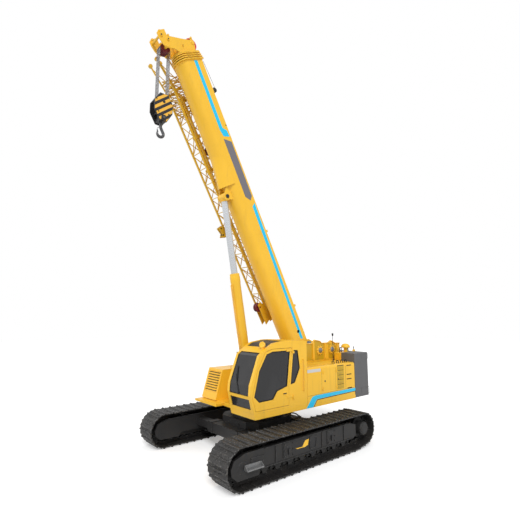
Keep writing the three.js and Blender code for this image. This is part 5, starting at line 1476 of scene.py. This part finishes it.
def buildHookBlock():
    b = blockShape
    x = blockSheaveCentre[0]
    w, top, low = b["half"], b["top"], b["low"]
    outline = np.array([(x - 0.1, low), (x + 0.1, low), (x + w, low + 0.29), (x + w, top - 0.25), (x + 0.12, top),
                        (x - 0.12, top), (x - w, top - 0.25), (x - w, low + 0.29)])
    face = b["inner"] + b["plate"]
    striped, dark, steel = [], [], []
    flat = insetOutline(outline, 0.012)
    for side in (1, -1):
        striped.append(slab(flat, side * (face + decalGap), side * (face + 0.012), "y", 0.004))
        dark.append(turned([(0.001, 0.026), (0.03, 0.026), (0.038, 0.018), (0.04, 0.01)],
                           (x, side * face, blockSheaveCentre[2]),
                           (0, side, 0), 24))
        strap = [(x - 0.07, 9.14), (x + 0.07, 9.14), (x + 0.06, 9.31), (x - 0.06, 9.31)]
        dark.append(slab(strap, side * (face + 0.01), side * (face + 0.03), "y", 0.005))
        steel.append(turned([(0.001, 0.05), (0.03, 0.05), (0.038, 0.035), (0.038, 0.0)], (x, side * face, 9.23),
                            (0, side, 0), 20))
    for px, pz in ((x - 0.15, 9.37), (x + 0.15, 9.37), (x - 0.22, 9.72),
                   (x + 0.22, 9.72)):  # bolts through both cheeks
        dark.append(rods([(px, -face - 0.025, pz)], [(px, face + 0.025, pz)], 0.018, 12))
    makePiece("blockStripes", "block", warningStripes, "block_black", *striped)
    makePiece("blockFittings", "block", blackPaint, "block_black", *dark)
    makePiece("blockPins", "block", hookSteel, "forged_hook", *steel)
    # hook: a round section carried down the shank and round the bowl, thickest at the bottom, thin at the tip
    h = hookShape
    turn = np.radians(np.linspace(158, 388, 44))
    share = np.linspace(0, 1, 44)
    arc = np.stack([x + h["reach"] * np.cos(turn), np.zeros(44), h["bowl"] + h["reach"] * np.sin(turn)], -1)
    thick = h["thick"] - (h["thick"] - h["tip"]) * np.clip((share - 0.6) / 0.4, 0, 1) ** 1.2
    neck = np.array([(x, 0, 9.11), (x, 0, 9.04), (x - 0.012, 0, 8.985), (x - 0.05, 0, 8.915)])
    tip = np.array([(x + 0.088, 0, 8.9), (x + 0.1, 0, 8.925)])
    path = np.concatenate([neck, arc, tip])
    radius = np.concatenate([[0.041, 0.041, 0.041, 0.04], thick, [0.017, 0.01]])
    nut = turned([(0.001, 0.0), (0.062, 0.0), (0.064, 0.006), (0.064, 0.055), (0.001, 0.055)], (x, 0, 9.2508),
                 (0, 0, 1), 6)
    stem = turned([(0.001, 0.0), (h["shank"], 0.0), (h["shank"], 0.21), (0.001, 0.21)], (x, 0, 9.05), (0, 0, 1), 28)
    hookPiece = makePiece("forgedHook", "swivel_hook", hookSteel, "forged_hook", tube(path, radius, 20), nut, stem)
    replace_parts(hookPiece, "hook")
    latch = rounded([(x + 0.02, 0, 9.02), (x + 0.075, 0, 8.985), (x + 0.094, 0, 8.93)], 0.02)
    makePiece("hookLatch", "swivel_hook", stepSteel, "forged_hook", tube(latch, 0.009, 8))


buildCylinder()
buildHookBlock()
print("cylinder and hook block built")


# ---- floor, lamps and camera ----
def buildStudio():
    s = studio
    half = s["floorHalf"]
    mesh = bpy.data.meshes.new("floor")
    mesh.from_pydata([(-half, -half, -0.001), (half, -half, -0.001), (half, half, -0.001), (-half, half, -0.001)], [],
                     [(0, 1, 2, 3)])
    floor = bpy.data.objects.new("floor", mesh)
    bpy.context.scene.collection.objects.link(floor)
    material = bpy.data.materials.new("paleFloor")
    material.use_nodes = True
    tree = material.node_tree
    tree.nodes.clear()
    matt = tree.nodes.new("ShaderNodeBsdfDiffuse")
    matt.inputs["Color"].default_value = s["floorColour"]
    glow = tree.nodes.new("ShaderNodeEmission")
    seen = tree.nodes.new("ShaderNodeLightPath").outputs
    tree.links.new(maths(tree, "MULTIPLY", seen["Is Camera Ray"], s["floorLift"]), glow.inputs["Strength"])
    both = tree.nodes.new("ShaderNodeAddShader")
    tree.links.new(matt.outputs[0], both.inputs[0])
    tree.links.new(glow.outputs[0], both.inputs[1])
    tree.links.new(both.outputs[0], tree.nodes.new("ShaderNodeOutputMaterial").inputs["Surface"])
    mesh.materials.append(material)

    world = bpy.data.worlds.new("studioWorld")
    bpy.context.scene.world = world
    world.use_nodes = True
    tree = world.node_tree
    background = tree.nodes["Background"]
    background.inputs["Color"].default_value = (1, 1, 1, 1)
    seen = tree.nodes.new("ShaderNodeLightPath").outputs
    seenOpenly = maths(tree, "MAXIMUM", maths(tree, "MAXIMUM", seen["Is Camera Ray"], seen["Is Glossy Ray"]),
                  seen["Is Transmission Ray"])
    tree.links.new(ramp(tree, seenOpenly, 0, 1, s["worldLight"], 1.0), background.inputs["Strength"])

    for name, strength, toward in (("keyLamp", s["keyStrength"], s["keyFrom"]),
                                   ("fillLamp", s["fillStrength"], s["fillFrom"])):
        light = bpy.data.lights.new(name, "SUN")
        light.energy = strength
        light.angle = np.radians(s["lampSoftness"])
        lamp = bpy.data.objects.new(name, light)
        x, y, z = np.array(toward) / np.linalg.norm(toward)
        lamp.rotation_euler = (np.arccos(z), 0, np.arctan2(y, x) + np.pi / 2)
        bpy.context.scene.collection.objects.link(lamp)

    lens = bpy.data.cameras.new("camera")
    lens.lens = s["lens"]
    lens.sensor_width = 36
    lens.clip_end = 500
    camera = bpy.data.objects.new("camera", lens)
    camera.location = s["cameraPlace"]
    camera.rotation_euler = (np.radians(90 + s["cameraPitch"]), 0, np.radians(s["cameraYaw"] - 90))
    bpy.context.scene.collection.objects.link(camera)
    bpy.context.scene.camera = camera
    bpy.context.scene.view_settings.view_transform = "Standard"


buildStudio()
